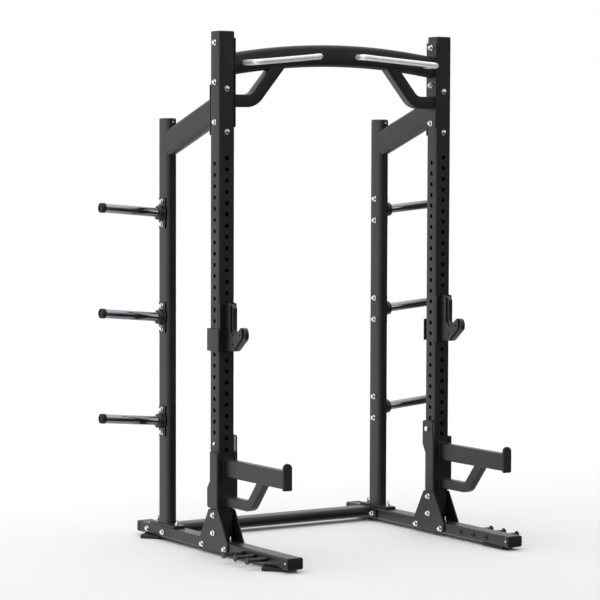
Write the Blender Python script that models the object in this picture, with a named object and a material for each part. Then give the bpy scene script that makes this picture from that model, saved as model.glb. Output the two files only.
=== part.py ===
"""Power cage: a bolted half rack with J-hooks, spotter arms, plate horns and a pull-up beam.

Metres, +Z up. The lifter stands in front of the rack, at -Y. The floor is z = 0 and the base
rails are centred on the origin. Left is -X. Welded and bolted neighbours stand GAP apart.
"""

import math

import bmesh
import bpy
from mathutils import Quaternion, Vector

# ---- driving dimensions ------------------------------------------------------------------
GAP = 0.0003

HALF_SPAN = 0.5905
TUBE = 0.080
TUBE_HALF = TUBE / 2
TUBE_CORNER = 0.009
TUBE_WALL = 0.003
UPRIGHT_Y = -0.0485
UPRIGHT_FRONT = UPRIGHT_Y - TUBE_HALF
UPRIGHT_BACK = UPRIGHT_Y + TUBE_HALF
UPRIGHT_TOP = 2.330
UPRIGHT_CAP_HEIGHT = 0.008
CAP_DOME = 0.012
CAP_FLAT = 0.030
PLATE_CORNER = 0.006
ARM_TUBE_CORNER = 0.005
FLANGE_CORNER = 0.008
TOOL_REACH = 0.010

HOLE_DIAMETER = 0.020
HOLE_PITCH = 0.050
HOLE_COUNT = 30
HOLE_SIDES = 8
FIRST_SIDE_HOLE_Z = 1.750
FIRST_FRONT_HOLE_Z = FIRST_SIDE_HOLE_Z + HOLE_PITCH / 2

OVAL_DEPTH = 0.100
OVAL_WIDTH = 0.050
OVAL_CORNER = 0.021
OVAL_WALL = 0.0025

RAIL_LENGTH = 1.324
RAIL_HEIGHT = 0.050
RAIL_BOTTOM = 0.0155
RAIL_TOP = RAIL_BOTTOM + RAIL_HEIGHT
RAIL_MID = RAIL_BOTTOM + RAIL_HEIGHT / 2
RAIL_CORNER = 0.008
RAIL_CAP_LENGTH = 0.030
RAIL_CAP_LIP = 0.0015
RAIL_CAP_BEVEL = 0.004

FOOT_INSET = 0.044
FOOT_LENGTH = 0.157
FOOT_TIP = 0.082
FOOT_HEEL = 0.146
FOOT_INNER = 0.039
FOOT_SHOULDER = 0.016
FOOT_WING = 0.095

REAR_Y = 0.442
REAR_TOP = 1.947
REAR_CAP_HEIGHT = 0.007
REAR_FLANGE_LENGTH = 0.227
REAR_FLANGE_WIDTH = 0.062
REAR_FLANGE_THICKNESS = 0.012

GUSSET_THICKNESS = 0.006
GUSSET_TOP = 0.204
GUSSET_BOTTOM = 0.018
GUSSET_SHOULDER = 0.058
GUSSET_FOOT = 0.123

CROSS_Y = 0.4915
CROSS_Z = 0.043
CROSS_FLANGE_THICKNESS = 0.008
CROSS_FLANGE_LENGTH = 0.204
CROSS_FLANGE_HEIGHT = 0.054

BRACE_HEIGHT = 0.130
BRACE_CORNER = 0.022
BRACE_START_Z = 1.989
BRACE_END_Z = 1.830
BRACE_PLATE_THICKNESS = 0.006
BRACE_PLATE_HEIGHT = 0.226
COPE_REACH = 0.3

BEAM_PLATE_THICKNESS = 0.006
BEAM_PLATE_MID = 2.110
BEAM_CORNER = 0.020
BEAM_PLATE_HEIGHT = 0.396
BEAM_PLATE_DEPTH = 0.076
BEAM_DEPTH = 0.050
BEAM_HEIGHT = 0.099
BEAM_MID_Z = 2.237
BEAM_RADIUS = 3.36
BEAM_STEPS = 12

BEAM_ARM_HEIGHT = 0.057
BEAM_ARM_Z = 2.0295
BEAM_ARM_BEND = 0.1035
BEAM_ARM_ANGLE = math.radians(50)
BEAM_ARM_BEND_RADIUS = 0.075
BEAM_ARM_RUN = 0.240

HANDLE_DIAMETER = 0.026
HANDLE_OUTER_X = 0.491
HANDLE_INNER_X = 0.114
HANDLE_OUTER_REACH = 0.091
HANDLE_INNER_REACH = 0.034
HANDLE_DROP = 0.002
HANDLE_BEND_RADIUS = 0.022

HORN_LEVELS = (("upper", 1.518), ("middle", 1.037), ("lower", 0.556))
HORN_TILT = math.radians(5)
HORN_DIAMETER = 0.0424
HORN_BORE = 0.0364
HORN_LENGTH = 0.300
HORN_COLLAR_DIAMETER = 0.068
HORN_COLLAR_LENGTH = 0.026
HORN_PLATE_HEIGHT = 0.143
HORN_PLATE_WIDTH = 0.056
HORN_PLATE_THICKNESS = 0.006
HORN_CAP_DIAMETER = 0.0455
HORN_CAP_LENGTH = 0.0225
HORN_SIDES = 18

HOOK_PLATE = 0.006
HOOK_FRONT_CLEARANCE = 0.001
HOOK_SIDE_CLEARANCE = 0.0024
HOOK_BACK_CLEARANCE = 0.0105
HOOK_BOTTOM = 0.915
HOOK_WRAP_TOP = 1.015
HOOK_TOP = 1.133
HOOK_BEND = 0.007
HOOK_INNER_BEND = 0.002
HOOK_INSET = 0.0026
HOOK_CHEEK_OFFSET = 0.0107
HOOK_CHEEK_THICKNESS = 0.006
HOOK_PEG_Z = 0.950
HOOK_PEG_RADIUS = 0.0085
HOOK_PEG_LENGTH = 0.024
# Each point of a J outline is (y from the front plate, z, corner radius), top to lip to foot.
HOOK_CHEEK_LINE = (
    (-0.046, 1.133, 0.007),
    (-0.046, 1.002, 0.008),
    (-0.099, 1.002, 0.014),
    (-0.1375, 1.034, 0.007),
    (-0.1455, 0.988, 0.014),
    (-0.071, 0.9215, 0.024),
)
HOOK_LINER_LINE = (
    (-0.043, 1.128, 0.004),
    (-0.061, 1.112, 0.006),
    (-0.061, 1.007, 0.010),
    (-0.095, 1.007, 0.012),
    (-0.122, 1.029, 0.010),
    (-0.161, 1.029, 0.026),
    (-0.161, 0.981, 0.018),
    (-0.084, 0.9205, 0.030),
)

ARM_PLATE = 0.008
ARM_CLEARANCE = 0.0012
ARM_SIDE_CLEARANCE = 0.0070
ARM_BRACKET_BOTTOM = 0.211
ARM_BRACKET_TOP = 0.463
ARM_BRACKET_BACK = 0.015
ARM_BEND = 0.009
ARM_INNER_BEND = 0.002
# Lobes of the bracket's side plates as (y from the upright's centre, z), with corner radii.
ARM_TAB_LINE = ((-0.040, 0.440), (0.015, 0.385), (0.038, 0.425), (0.038, 0.538), (-0.040, 0.538))
ARM_TAB_RADII = (0, 0, 0.012, 0.012, 0.012)
ARM_LOBE_LINE = ((-0.035, 0.211), (0.038, 0.211), (0.038, 0.300), (0.015, 0.330), (-0.035, 0.330))
ARM_LOBE_RADII = (0, 0.014, 0.014, 0, 0)
ARM_WIDTH = 0.040
ARM_HEIGHT = 0.079
ARM_MID_Z = 0.395
ARM_WALL = 0.003
ARM_END = 0.4995
ARM_CORNER = 0.006
ARM_CAP_THICKNESS = 0.0143
ARM_CAP_BOTTOM = 0.3482
ARM_CAP_TOP = 0.4665
ARM_CAP_HALF_WIDTH = 0.021
STRUT_WIDTH = 0.038
STRUT_HEIGHT = 0.0455
STRUT_Z = 0.2455
STRUT_BEND = 0.2165
STRUT_ANGLE = math.radians(50)
STRUT_BEND_RADIUS = 0.050
STRUT_RUN = 0.168

LOCK_PIN_Z = FIRST_SIDE_HOLE_Z - 25 * HOLE_PITCH
LOCK_PIN_RADIUS = 0.0085
LOCK_PIN_TIP = 0.006
LOCK_PIN_HEAD_RADIUS = 0.0125
LOCK_PIN_HEAD_LENGTH = 0.010

PEG_FIRST_Y = -0.2955
PEG_PITCH = 0.0985
PEG_COUNT = 3
PEG_Z = 0.041
PEG_DIAMETER = 0.019
PEG_LENGTH = 0.096
PEG_HEAD_DIAMETER = 0.032
PEG_HEAD_LENGTH = 0.006

SIDES = (("left", -1), ("right", 1))


# ---- outlines: lists of (u, v) points, counter-clockwise ------------------------------------
def arc(center, radius, start, end, steps):
    """Return points on an arc from angle start to angle end, both ends included."""
    points = []
    for step in range(steps + 1):
        angle = start + (end - start) * step / steps
        points.append((center[0] + radius * math.cos(angle), center[1] + radius * math.sin(angle)))
    return points


def rounded_rectangle(width, height, radius, steps=2):
    """Return a rectangle about the origin with rounded corners."""
    u = width / 2 - radius
    v = height / 2 - radius
    points = []
    for quarter, (cu, cv) in enumerate(((u, v), (-u, v), (-u, -v), (u, -v))):
        start = quarter * math.pi / 2
        points += arc((cu, cv), radius, start, start + math.pi / 2, steps)
    return points


def circle(radius, sides=16):
    """Return a regular polygon whose flats face the axes."""
    offset = math.pi / sides
    return [
        (radius * math.cos(offset + math.tau * i / sides), radius * math.sin(offset + math.tau * i / sides))
        for i in range(sides)
    ]


def rounded_corners(corners, radii, steps=3):
    """Return a polygon's outline with each corner turned into an arc of its own radius."""
    points = []
    for index, radius in enumerate(radii):
        corner = Vector(corners[index])
        if radius == 0:
            points.append(tuple(corner))
            continue
        before = (Vector(corners[index - 1]) - corner).normalized()
        after = (Vector(corners[(index + 1) % len(corners)]) - corner).normalized()
        half = before.angle(after) / 2
        center = corner + (before + after).normalized() * (radius / math.sin(half))
        start = corner + before * (radius / math.tan(half)) - center
        end = corner + after * (radius / math.tan(half)) - center
        first = math.atan2(start.y, start.x)
        turn = (math.atan2(end.y, end.x) - first + math.pi) % math.tau - math.pi
        points += arc(center, radius, first, first + turn, steps)
    return points


def moved(outline, du, dv):
    """Return an outline shifted in its own plane."""
    return [(u + du, v + dv) for u, v in outline]


def rounded_path(points, radius, steps=5):
    """Return a 3-D polyline with its inner corners turned into arcs."""
    path = [points[0]]
    for before, corner, after in zip(points, points[1:], points[2:]):
        first = (corner - before).normalized()
        second = (after - corner).normalized()
        turn = first.angle(second)
        axis = first.cross(second).normalized()
        entry = corner - first * radius * math.tan(turn / 2)
        center = entry + axis.cross(first) * radius
        path += [center + Quaternion(axis, turn * i / steps) @ (entry - center) for i in range(steps + 1)]
    return path + [points[-1]]


# ---- solids --------------------------------------------------------------------------------
def new_object(name, vertices, faces, material):
    """Make a mesh object from world coordinates, with its faces turned outward."""
    mesh = bpy.data.meshes.new(name)
    mesh.from_pydata([tuple(vertex) for vertex in vertices], [], faces)
    work = bmesh.new()
    work.from_mesh(mesh)
    bmesh.ops.recalc_face_normals(work, faces=work.faces)
    work.to_mesh(mesh)
    work.free()
    mesh.materials.append(material)
    solid = bpy.data.objects.new(name, mesh)
    bpy.context.scene.collection.objects.link(solid)
    return solid


def wall_faces(first, count, rings):
    """Return the quads between the rings of points that start at index first."""
    faces = []
    for ring in range(rings - 1):
        base = first + ring * count
        for i in range(count):
            j = (i + 1) % count
            faces.append((base + i, base + j, base + count + j, base + count + i))
    return faces


def loft(name, sections, material, bore=()):
    """Skin equal-length sections into a closed solid, or into an open tube when bore is given."""
    count = len(sections[0])
    rings = len(sections)
    last = (rings - 1) * count
    vertices = [point for section in (*sections, *bore) for point in section]
    faces = wall_faces(0, count, rings)
    if not bore:
        faces += [tuple(range(count)), tuple(range(last, last + count))]
        return new_object(name, vertices, faces, material)
    inner = rings * count
    faces += wall_faces(inner, count, rings)
    for start in (0, last):
        for i in range(count):
            j = (i + 1) % count
            faces.append((start + i, start + j, inner + start + j, inner + start + i))
    return new_object(name, vertices, faces, material)


def along_x(outline, x):
    """Place an outline of (y, z) points at x."""
    return [Vector((x, u, v)) for u, v in outline]


def along_y(outline, y):
    """Place an outline of (x, z) points at y."""
    return [Vector((u, y, v)) for u, v in outline]


def along_z(outline, z):
    """Place an outline of (x, y) points at z."""
    return [Vector((u, v, z)) for u, v in outline]


def prism(name, place, outline, low, high, material, bore=()):
    """Extrude an outline between two stations of one of the three placing functions."""
    inner = [place(bore, low), place(bore, high)] if bore else ()
    return loft(name, [place(outline, low), place(outline, high)], material, inner)


def swept(name, outline, path, up, material):
    """Sweep an outline along a path; its v axis stays near the up direction."""
    sections = []
    for index, point in enumerate(path):
        tangent = Vector((0, 0, 0))
        if index > 0:
            tangent += (point - path[index - 1]).normalized()
        if index < len(path) - 1:
            tangent += (path[index + 1] - point).normalized()
        side = tangent.cross(up).normalized()
        rise = side.cross(tangent.normalized())
        sections.append([point + side * u + rise * v for u, v in outline])
    return loft(name, sections, material)


def boolean(target, operation, *tools):
    """Weld tool solids to the target with UNION, or cut them away with DIFFERENCE."""
    for tool in tools:
        modifier = target.modifiers.new(tool.name, "BOOLEAN")
        modifier.operation = operation
        modifier.solver = "EXACT"
        modifier.object = tool
        tool.hide_render = True
        tool.display_type = "WIRE"
    return target


def out_from(side, offset):
    """Return the x of a point offset outward from an upright's centre line."""
    return side * (HALF_SPAN + offset)


def mirrored(outline, side):
    """Turn an outline of (outward offset, y) points into world (x, y) points for one side."""
    return [(out_from(side, u), v) for u, v in outline]


# ---- materials -----------------------------------------------------------------------------
def finish(name, shade, roughness, metallic):
    """Make a Principled material of a grey whose linear value is shade."""
    material = bpy.data.materials.new(name)
    material.use_nodes = True
    shader = material.node_tree.nodes["Principled BSDF"]
    shader.inputs["Base Color"].default_value = (shade, shade, shade, 1)
    shader.inputs["Roughness"].default_value = roughness
    shader.inputs["Metallic"].default_value = metallic
    material.diffuse_color = (shade, shade, shade, 1)
    return material


def make_finishes():
    """Make the few finishes that the rack's parts share."""
    return {
        "powder": finish("powder_coat_black", 0.028, 0.55, 0.0),
        "rubber": finish("rubber_black", 0.012, 0.85, 0.0),
        "plastic": finish("plastic_black", 0.010, 0.45, 0.0),
        "chrome": finish("chrome", 0.72, 0.12, 1.0),
        "steel": finish("zinc_steel", 0.60, 0.30, 1.0),
    }


# ---- base ----------------------------------------------------------------------------------
def make_base_rail(label, side, finishes):
    """Make one hollow base rail with a cap at each end."""
    center = (out_from(side, 0), RAIL_MID)
    outline = moved(rounded_rectangle(TUBE, RAIL_HEIGHT, RAIL_CORNER), *center)
    bore_size = (TUBE - 2 * TUBE_WALL, RAIL_HEIGHT - 2 * TUBE_WALL)
    bore = moved(rounded_rectangle(*bore_size, RAIL_CORNER - TUBE_WALL), *center)
    end = RAIL_LENGTH / 2 - RAIL_CAP_LENGTH - GAP
    prism(label + "_base_rail", along_y, outline, -end, end, finishes["powder"], bore)
    cap_size = (TUBE + RAIL_CAP_LIP, RAIL_HEIGHT + RAIL_CAP_LIP)
    block = moved(rounded_rectangle(*cap_size, RAIL_CORNER), *center)
    face_size = (TUBE - RAIL_CAP_BEVEL, RAIL_HEIGHT - RAIL_CAP_BEVEL)
    face = moved(rounded_rectangle(*face_size, RAIL_CORNER), *center)
    for place, sign in (("front", -1), ("rear", 1)):
        stations = (end + GAP, RAIL_LENGTH / 2 - RAIL_CAP_BEVEL, RAIL_LENGTH / 2)
        sections = [along_y(shape, sign * y) for shape, y in zip((block, block, face), stations)]
        loft(label + "_" + place + "_rail_cap", sections, finishes["plastic"])
        make_foot(label + "_" + place + "_foot", side, sign, finishes)


def make_foot(name, side, sign, finishes):
    """Make one rubber pad with an outrigger wing, under one end of a base rail."""
    edge = RAIL_LENGTH / 2 - FOOT_INSET
    corners = (
        (-FOOT_INNER, sign * edge),
        (FOOT_SHOULDER, sign * edge),
        (FOOT_WING, sign * (edge - FOOT_TIP)),
        (TUBE_HALF, sign * (edge - FOOT_HEEL)),
        (TUBE_HALF, sign * (edge - FOOT_LENGTH)),
        (-FOOT_INNER, sign * (edge - FOOT_LENGTH)),
    )
    outline = mirrored(rounded_corners(corners, (0.006, 0.008, 0.008, 0.010, 0.004, 0.006), 2), side)
    prism(name, along_z, outline, 0, RAIL_BOTTOM - RAIL_CAP_LIP / 2 - GAP, finishes["rubber"])


def make_gusset(name, side, direction, finishes):
    """Make one flat gusset plate on a side face of an upright and its rail."""
    corners = (
        (UPRIGHT_Y - TUBE_HALF, GUSSET_TOP),
        (UPRIGHT_Y - GUSSET_FOOT, GUSSET_SHOULDER),
        (UPRIGHT_Y - GUSSET_FOOT, GUSSET_BOTTOM),
        (UPRIGHT_Y + GUSSET_FOOT, GUSSET_BOTTOM),
        (UPRIGHT_Y + GUSSET_FOOT, GUSSET_SHOULDER),
        (UPRIGHT_Y + TUBE_HALF, GUSSET_TOP),
    )
    outline = rounded_corners(corners, (0.012, 0.014, 0.016, 0.016, 0.014, 0.012))
    near = out_from(side, direction * (TUBE_HALF + GAP))
    far = out_from(side, direction * (TUBE_HALF + GAP + GUSSET_THICKNESS))
    prism(name, along_x, outline, near, far, finishes["powder"])


def make_cross_member(finishes):
    """Make the rear floor tube with a bolting flange welded to each end."""
    flange_out = HALF_SPAN - TUBE_HALF - GAP
    flange_in = flange_out - CROSS_FLANGE_THICKNESS
    center = (CROSS_Y, CROSS_Z)
    powder = finishes["powder"]
    outline = moved(rounded_rectangle(OVAL_DEPTH, OVAL_WIDTH, OVAL_CORNER), *center)
    overlap = flange_in + CROSS_FLANGE_THICKNESS / 2
    tube = prism("rear_cross_member", along_x, outline, -overlap, overlap, powder)
    plate = moved(rounded_rectangle(CROSS_FLANGE_LENGTH, CROSS_FLANGE_HEIGHT, FLANGE_CORNER), *center)
    flanges = [
        prism("flange_tool", along_x, plate, sign * flange_in, sign * flange_out, powder)
        for sign in (-1, 1)
    ]
    void_size = (OVAL_DEPTH - 2 * OVAL_WALL, OVAL_WIDTH - 2 * OVAL_WALL, OVAL_CORNER - OVAL_WALL)
    void = prism(
        "void_tool", along_x, moved(rounded_rectangle(*void_size), *center), -HALF_SPAN, HALF_SPAN, powder
    )
    boolean(tube, "UNION", *flanges)
    boolean(tube, "DIFFERENCE", void)


def make_band_pegs(label, side, finishes):
    """Make the headed pegs along the front of one rail, for resistance bands."""
    rod = circle(PEG_DIAMETER / 2)
    head = circle(PEG_HEAD_DIAMETER / 2)
    root = TUBE_HALF + GAP
    neck = root + PEG_LENGTH
    for index in range(PEG_COUNT):
        center = (PEG_FIRST_Y - index * PEG_PITCH, PEG_Z)
        stations = ((rod, root), (rod, neck), (head, neck), (head, neck + PEG_HEAD_LENGTH))
        sections = [along_x(moved(shape, *center), out_from(side, offset)) for shape, offset in stations]
        loft(label + "_band_peg_" + str(index + 1), sections, finishes["powder"])


# ---- uprights and braces -------------------------------------------------------------------
def drill_tool(name, center_x, finishes):
    """Make one cutter that holds every side hole and front hole of an upright."""
    hole = circle(HOLE_DIAMETER / 2, HOLE_SIDES)
    reach = TUBE_HALF + TOOL_REACH
    vertices = []
    faces = []
    for index in range(HOLE_COUNT):
        side_hole = moved(hole, UPRIGHT_Y, FIRST_SIDE_HOLE_Z - index * HOLE_PITCH)
        front_hole = moved(hole, center_x, FIRST_FRONT_HOLE_Z - index * HOLE_PITCH)
        ends = (
            (along_x(side_hole, center_x - reach), along_x(side_hole, center_x + reach)),
            (along_y(front_hole, UPRIGHT_Y - reach), along_y(front_hole, UPRIGHT_Y)),
        )
        for low, high in ends:
            first = len(vertices)
            vertices += low + high
            faces += wall_faces(first, HOLE_SIDES, 2)
            faces += [tuple(range(first, first + HOLE_SIDES))]
            faces += [tuple(range(first + HOLE_SIDES, first + 2 * HOLE_SIDES))]
    return new_object(name, vertices, faces, finishes["powder"])


def make_top_cap(name, size, center, base, height, finishes):
    """Make a low domed plastic cap over the top of a tube."""
    width, depth, corner = size
    shapes = (
        (rounded_rectangle(width, depth, corner), base),
        (rounded_rectangle(width, depth, corner), base + height * 0.4),
        (rounded_rectangle(width - CAP_DOME, depth - CAP_DOME, corner * 0.8), base + height * 0.85),
        (rounded_rectangle(width - CAP_FLAT, depth - CAP_FLAT, corner * 0.45), base + height),
    )
    loft(name, [along_z(moved(shape, *center), z) for shape, z in shapes], finishes["plastic"])


def make_upright(label, side, finishes):
    """Make one square upright with its ladders of side and front holes, and its cap."""
    center = (out_from(side, 0), UPRIGHT_Y)
    outline = moved(rounded_rectangle(TUBE, TUBE, TUBE_CORNER), *center)
    bore_width = TUBE - 2 * TUBE_WALL
    bore = moved(rounded_rectangle(bore_width, bore_width, TUBE_CORNER - TUBE_WALL), *center)
    base = RAIL_TOP + GAP
    upright = prism(label + "_upright", along_z, outline, base, UPRIGHT_TOP, finishes["powder"], bore)
    boolean(upright, "DIFFERENCE", drill_tool(label + "_drill_tool", center[0], finishes))
    cap_size = (TUBE, TUBE, TUBE_CORNER)
    make_top_cap(label + "_upright_cap", cap_size, center, UPRIGHT_TOP + GAP, UPRIGHT_CAP_HEIGHT, finishes)


def make_rear_upright(label, side, finishes):
    """Make one oval rear upright welded to its foot flange, and its cap."""
    center = (out_from(side, 0), REAR_Y)
    powder = finishes["powder"]
    outline = moved(rounded_rectangle(OVAL_WIDTH, OVAL_DEPTH, OVAL_CORNER), *center)
    bore_size = (OVAL_WIDTH - 2 * OVAL_WALL, OVAL_DEPTH - 2 * OVAL_WALL)
    bore = moved(rounded_rectangle(*bore_size, OVAL_CORNER - OVAL_WALL), *center)
    base = RAIL_TOP + GAP
    start = base + REAR_FLANGE_THICKNESS / 2
    upright = prism(label + "_rear_upright", along_z, outline, start, REAR_TOP, powder, bore)
    plate = moved(rounded_rectangle(REAR_FLANGE_WIDTH, REAR_FLANGE_LENGTH, FLANGE_CORNER), *center)
    flange = prism("flange_tool", along_z, plate, base, base + REAR_FLANGE_THICKNESS, powder)
    boolean(upright, "UNION", flange)
    cap_size = (OVAL_WIDTH, OVAL_DEPTH, OVAL_CORNER)
    make_top_cap(label + "_rear_upright_cap", cap_size, center, REAR_TOP + GAP, REAR_CAP_HEIGHT, finishes)


def make_brace(label, side, finishes):
    """Make one sloping top brace, coped to the rear upright and welded to its front plate."""
    center_x = out_from(side, 0)
    powder = finishes["powder"]
    plate_face = UPRIGHT_BACK + GAP + BRACE_PLATE_THICKNESS
    stations = (
        (plate_face - BRACE_PLATE_THICKNESS / 2, BRACE_START_Z),
        (REAR_Y, BRACE_END_Z),
    )
    outline = rounded_rectangle(OVAL_WIDTH, BRACE_HEIGHT, BRACE_CORNER)
    void = rounded_rectangle(
        OVAL_WIDTH - 2 * OVAL_WALL, BRACE_HEIGHT - 2 * OVAL_WALL, BRACE_CORNER - OVAL_WALL
    )
    sections = [along_y(moved(outline, center_x, z), y) for y, z in stations]
    bore = [along_y(moved(void, center_x, z), y) for y, z in stations]
    brace = loft(label + "_top_brace", sections, powder, bore)
    plate_outline = moved(rounded_rectangle(TUBE, BRACE_PLATE_HEIGHT, PLATE_CORNER), center_x, BRACE_START_Z)
    plate = prism("plate_tool", along_y, plate_outline, UPRIGHT_BACK + GAP, plate_face, powder)
    cope_size = (OVAL_WIDTH + 2 * GAP, OVAL_DEPTH + 2 * GAP, OVAL_CORNER)
    cope_outline = moved(rounded_rectangle(*cope_size), center_x, REAR_Y)
    cope_z = (BRACE_END_Z - COPE_REACH, BRACE_START_Z + COPE_REACH)
    cope = prism("cope_tool", along_z, cope_outline, *cope_z, powder)
    boolean(brace, "UNION", plate)
    boolean(brace, "DIFFERENCE", cope)


# ---- pull-up beam --------------------------------------------------------------------------
def beam_height(x):
    """Return the height of the arched beam's centre line at x."""
    return BEAM_MID_Z - x * x / (2 * BEAM_RADIUS)


def beam_sections(outline, half_length):
    """Return the beam's sections from end to end, for an outline of (y, z) points."""
    sections = []
    for step in range(BEAM_STEPS + 1):
        x = half_length * (2 * step / BEAM_STEPS - 1)
        sections.append(along_x(moved(outline, UPRIGHT_Y, beam_height(x)), x))
    return sections


def make_beam(finishes):
    """Make the arched pull-up beam, with an end plate, a curved arm and a handle on each side."""
    plate_out = HALF_SPAN - TUBE_HALF - GAP
    plate_in = plate_out - BEAM_PLATE_THICKNESS
    powder = finishes["powder"]
    outline = rounded_rectangle(BEAM_DEPTH, BEAM_HEIGHT, BEAM_CORNER)
    bore = rounded_rectangle(
        BEAM_DEPTH - 2 * OVAL_WALL, BEAM_HEIGHT - 2 * OVAL_WALL, BEAM_CORNER - OVAL_WALL
    )
    half_length = plate_in - GAP
    sections = beam_sections(outline, half_length)
    loft("pull_up_beam", sections, powder, beam_sections(bore, half_length))
    plate = moved(
        rounded_rectangle(BEAM_PLATE_DEPTH, BEAM_PLATE_HEIGHT, PLATE_CORNER), UPRIGHT_Y, BEAM_PLATE_MID
    )
    for label, side in SIDES:
        prism(label + "_beam_plate", along_x, plate, side * plate_in, side * plate_out, powder)
        make_beam_arm(label, side, half_length, powder)
        make_handle(label, side, finishes)


def make_beam_arm(label, side, start_x, powder):
    """Make one bent arm that props the beam from its end plate."""
    inward = Vector((-side, 0, 0))
    rising = Vector((-side * math.cos(BEAM_ARM_ANGLE), 0, math.sin(BEAM_ARM_ANGLE)))
    start = Vector((side * start_x, UPRIGHT_Y, BEAM_ARM_Z))
    corner = start + inward * BEAM_ARM_BEND
    path = rounded_path([start, corner, corner + rising * BEAM_ARM_RUN], BEAM_ARM_BEND_RADIUS)
    outline = rounded_rectangle(BEAM_ARM_HEIGHT, BEAM_DEPTH, ARM_TUBE_CORNER)
    arm = swept(label + "_beam_arm", outline, path, Vector((0, 1, 0)), powder)
    grown = rounded_rectangle(BEAM_DEPTH + 2 * GAP, BEAM_HEIGHT + 2 * GAP, BEAM_CORNER)
    boolean(arm, "DIFFERENCE", loft("cope_tool", beam_sections(grown, HALF_SPAN), powder))


def make_handle(label, side, finishes):
    """Make one chrome pull-up handle, bent back at both ends to the beam's front face."""
    root_y = UPRIGHT_Y - BEAM_DEPTH / 2 - GAP
    ends = ((HANDLE_OUTER_X, HANDLE_OUTER_REACH), (HANDLE_INNER_X, HANDLE_INNER_REACH))
    corners = []
    for offset, reach in ends:
        z = beam_height(offset) - HANDLE_DROP
        leg = [Vector((side * offset, root_y, z)), Vector((side * offset, UPRIGHT_FRONT - reach, z))]
        corners += leg if offset == HANDLE_OUTER_X else leg[::-1]
    path = rounded_path(corners, HANDLE_BEND_RADIUS)
    outline = circle(HANDLE_DIAMETER / 2, 12)
    swept(label + "_pull_up_handle", outline, path, Vector((0, 0, 1)), finishes["chrome"])


# ---- plate horns ---------------------------------------------------------------------------
def horn_point(side, root_z, run):
    """Return the point on a horn's axis at a distance from its mounting plate."""
    root = Vector((out_from(side, OVAL_WIDTH / 2 + GAP + HORN_PLATE_THICKNESS), REAR_Y, root_z))
    return root + Vector((side * math.cos(HORN_TILT), 0, math.sin(HORN_TILT))) * run


def horn_loft(name, side, root_z, rings, sides, material):
    """Make a turned solid on a horn's axis, from rings of (distance, radius)."""
    across = Vector((0, 1, 0))
    rise = Vector((-side * math.sin(HORN_TILT), 0, math.cos(HORN_TILT)))
    sections = []
    for run, radius in rings:
        center = horn_point(side, root_z, run)
        sections.append([center + across * u + rise * v for u, v in circle(radius, sides)])
    return loft(name, sections, material)


def make_horns(label, side, finishes):
    """Make the plate horns of one side: mounting plate, collar and bored tube, and a rubber cap."""
    plate_in = out_from(side, OVAL_WIDTH / 2 + GAP)
    plate_out = out_from(side, OVAL_WIDTH / 2 + GAP + HORN_PLATE_THICKNESS)
    radius = HORN_DIAMETER / 2
    collar = HORN_COLLAR_DIAMETER / 2
    for level, z in HORN_LEVELS:
        name = label + "_" + level + "_horn"
        outline = moved(rounded_rectangle(HORN_PLATE_WIDTH, HORN_PLATE_HEIGHT, PLATE_CORNER), REAR_Y, z)
        horn = prism(name, along_x, outline, plate_in, plate_out, finishes["chrome"])
        turned = (
            (-HORN_PLATE_THICKNESS / 2, collar * 0.96),
            (HORN_COLLAR_LENGTH * 0.7, collar),
            (HORN_COLLAR_LENGTH, collar * 0.86),
            (HORN_COLLAR_LENGTH, radius),
            (HORN_LENGTH, radius),
        )
        tube = horn_loft("tube_tool", side, z, turned, HORN_SIDES, finishes["chrome"])
        bore = ((HORN_COLLAR_LENGTH, HORN_BORE / 2), (HORN_LENGTH + TOOL_REACH, HORN_BORE / 2))
        boolean(horn, "UNION", tube)
        boolean(horn, "DIFFERENCE", horn_loft("bore_tool", side, z, bore, HORN_SIDES, finishes["chrome"]))
        cap = HORN_CAP_DIAMETER / 2
        start = HORN_LENGTH + GAP
        rings = ((start, cap), (start + HORN_CAP_LENGTH * 0.85, cap), (start + HORN_CAP_LENGTH, cap * 0.86))
        horn_loft(name + "_cap", side, z, rings, HORN_SIDES, finishes["rubber"])


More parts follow.
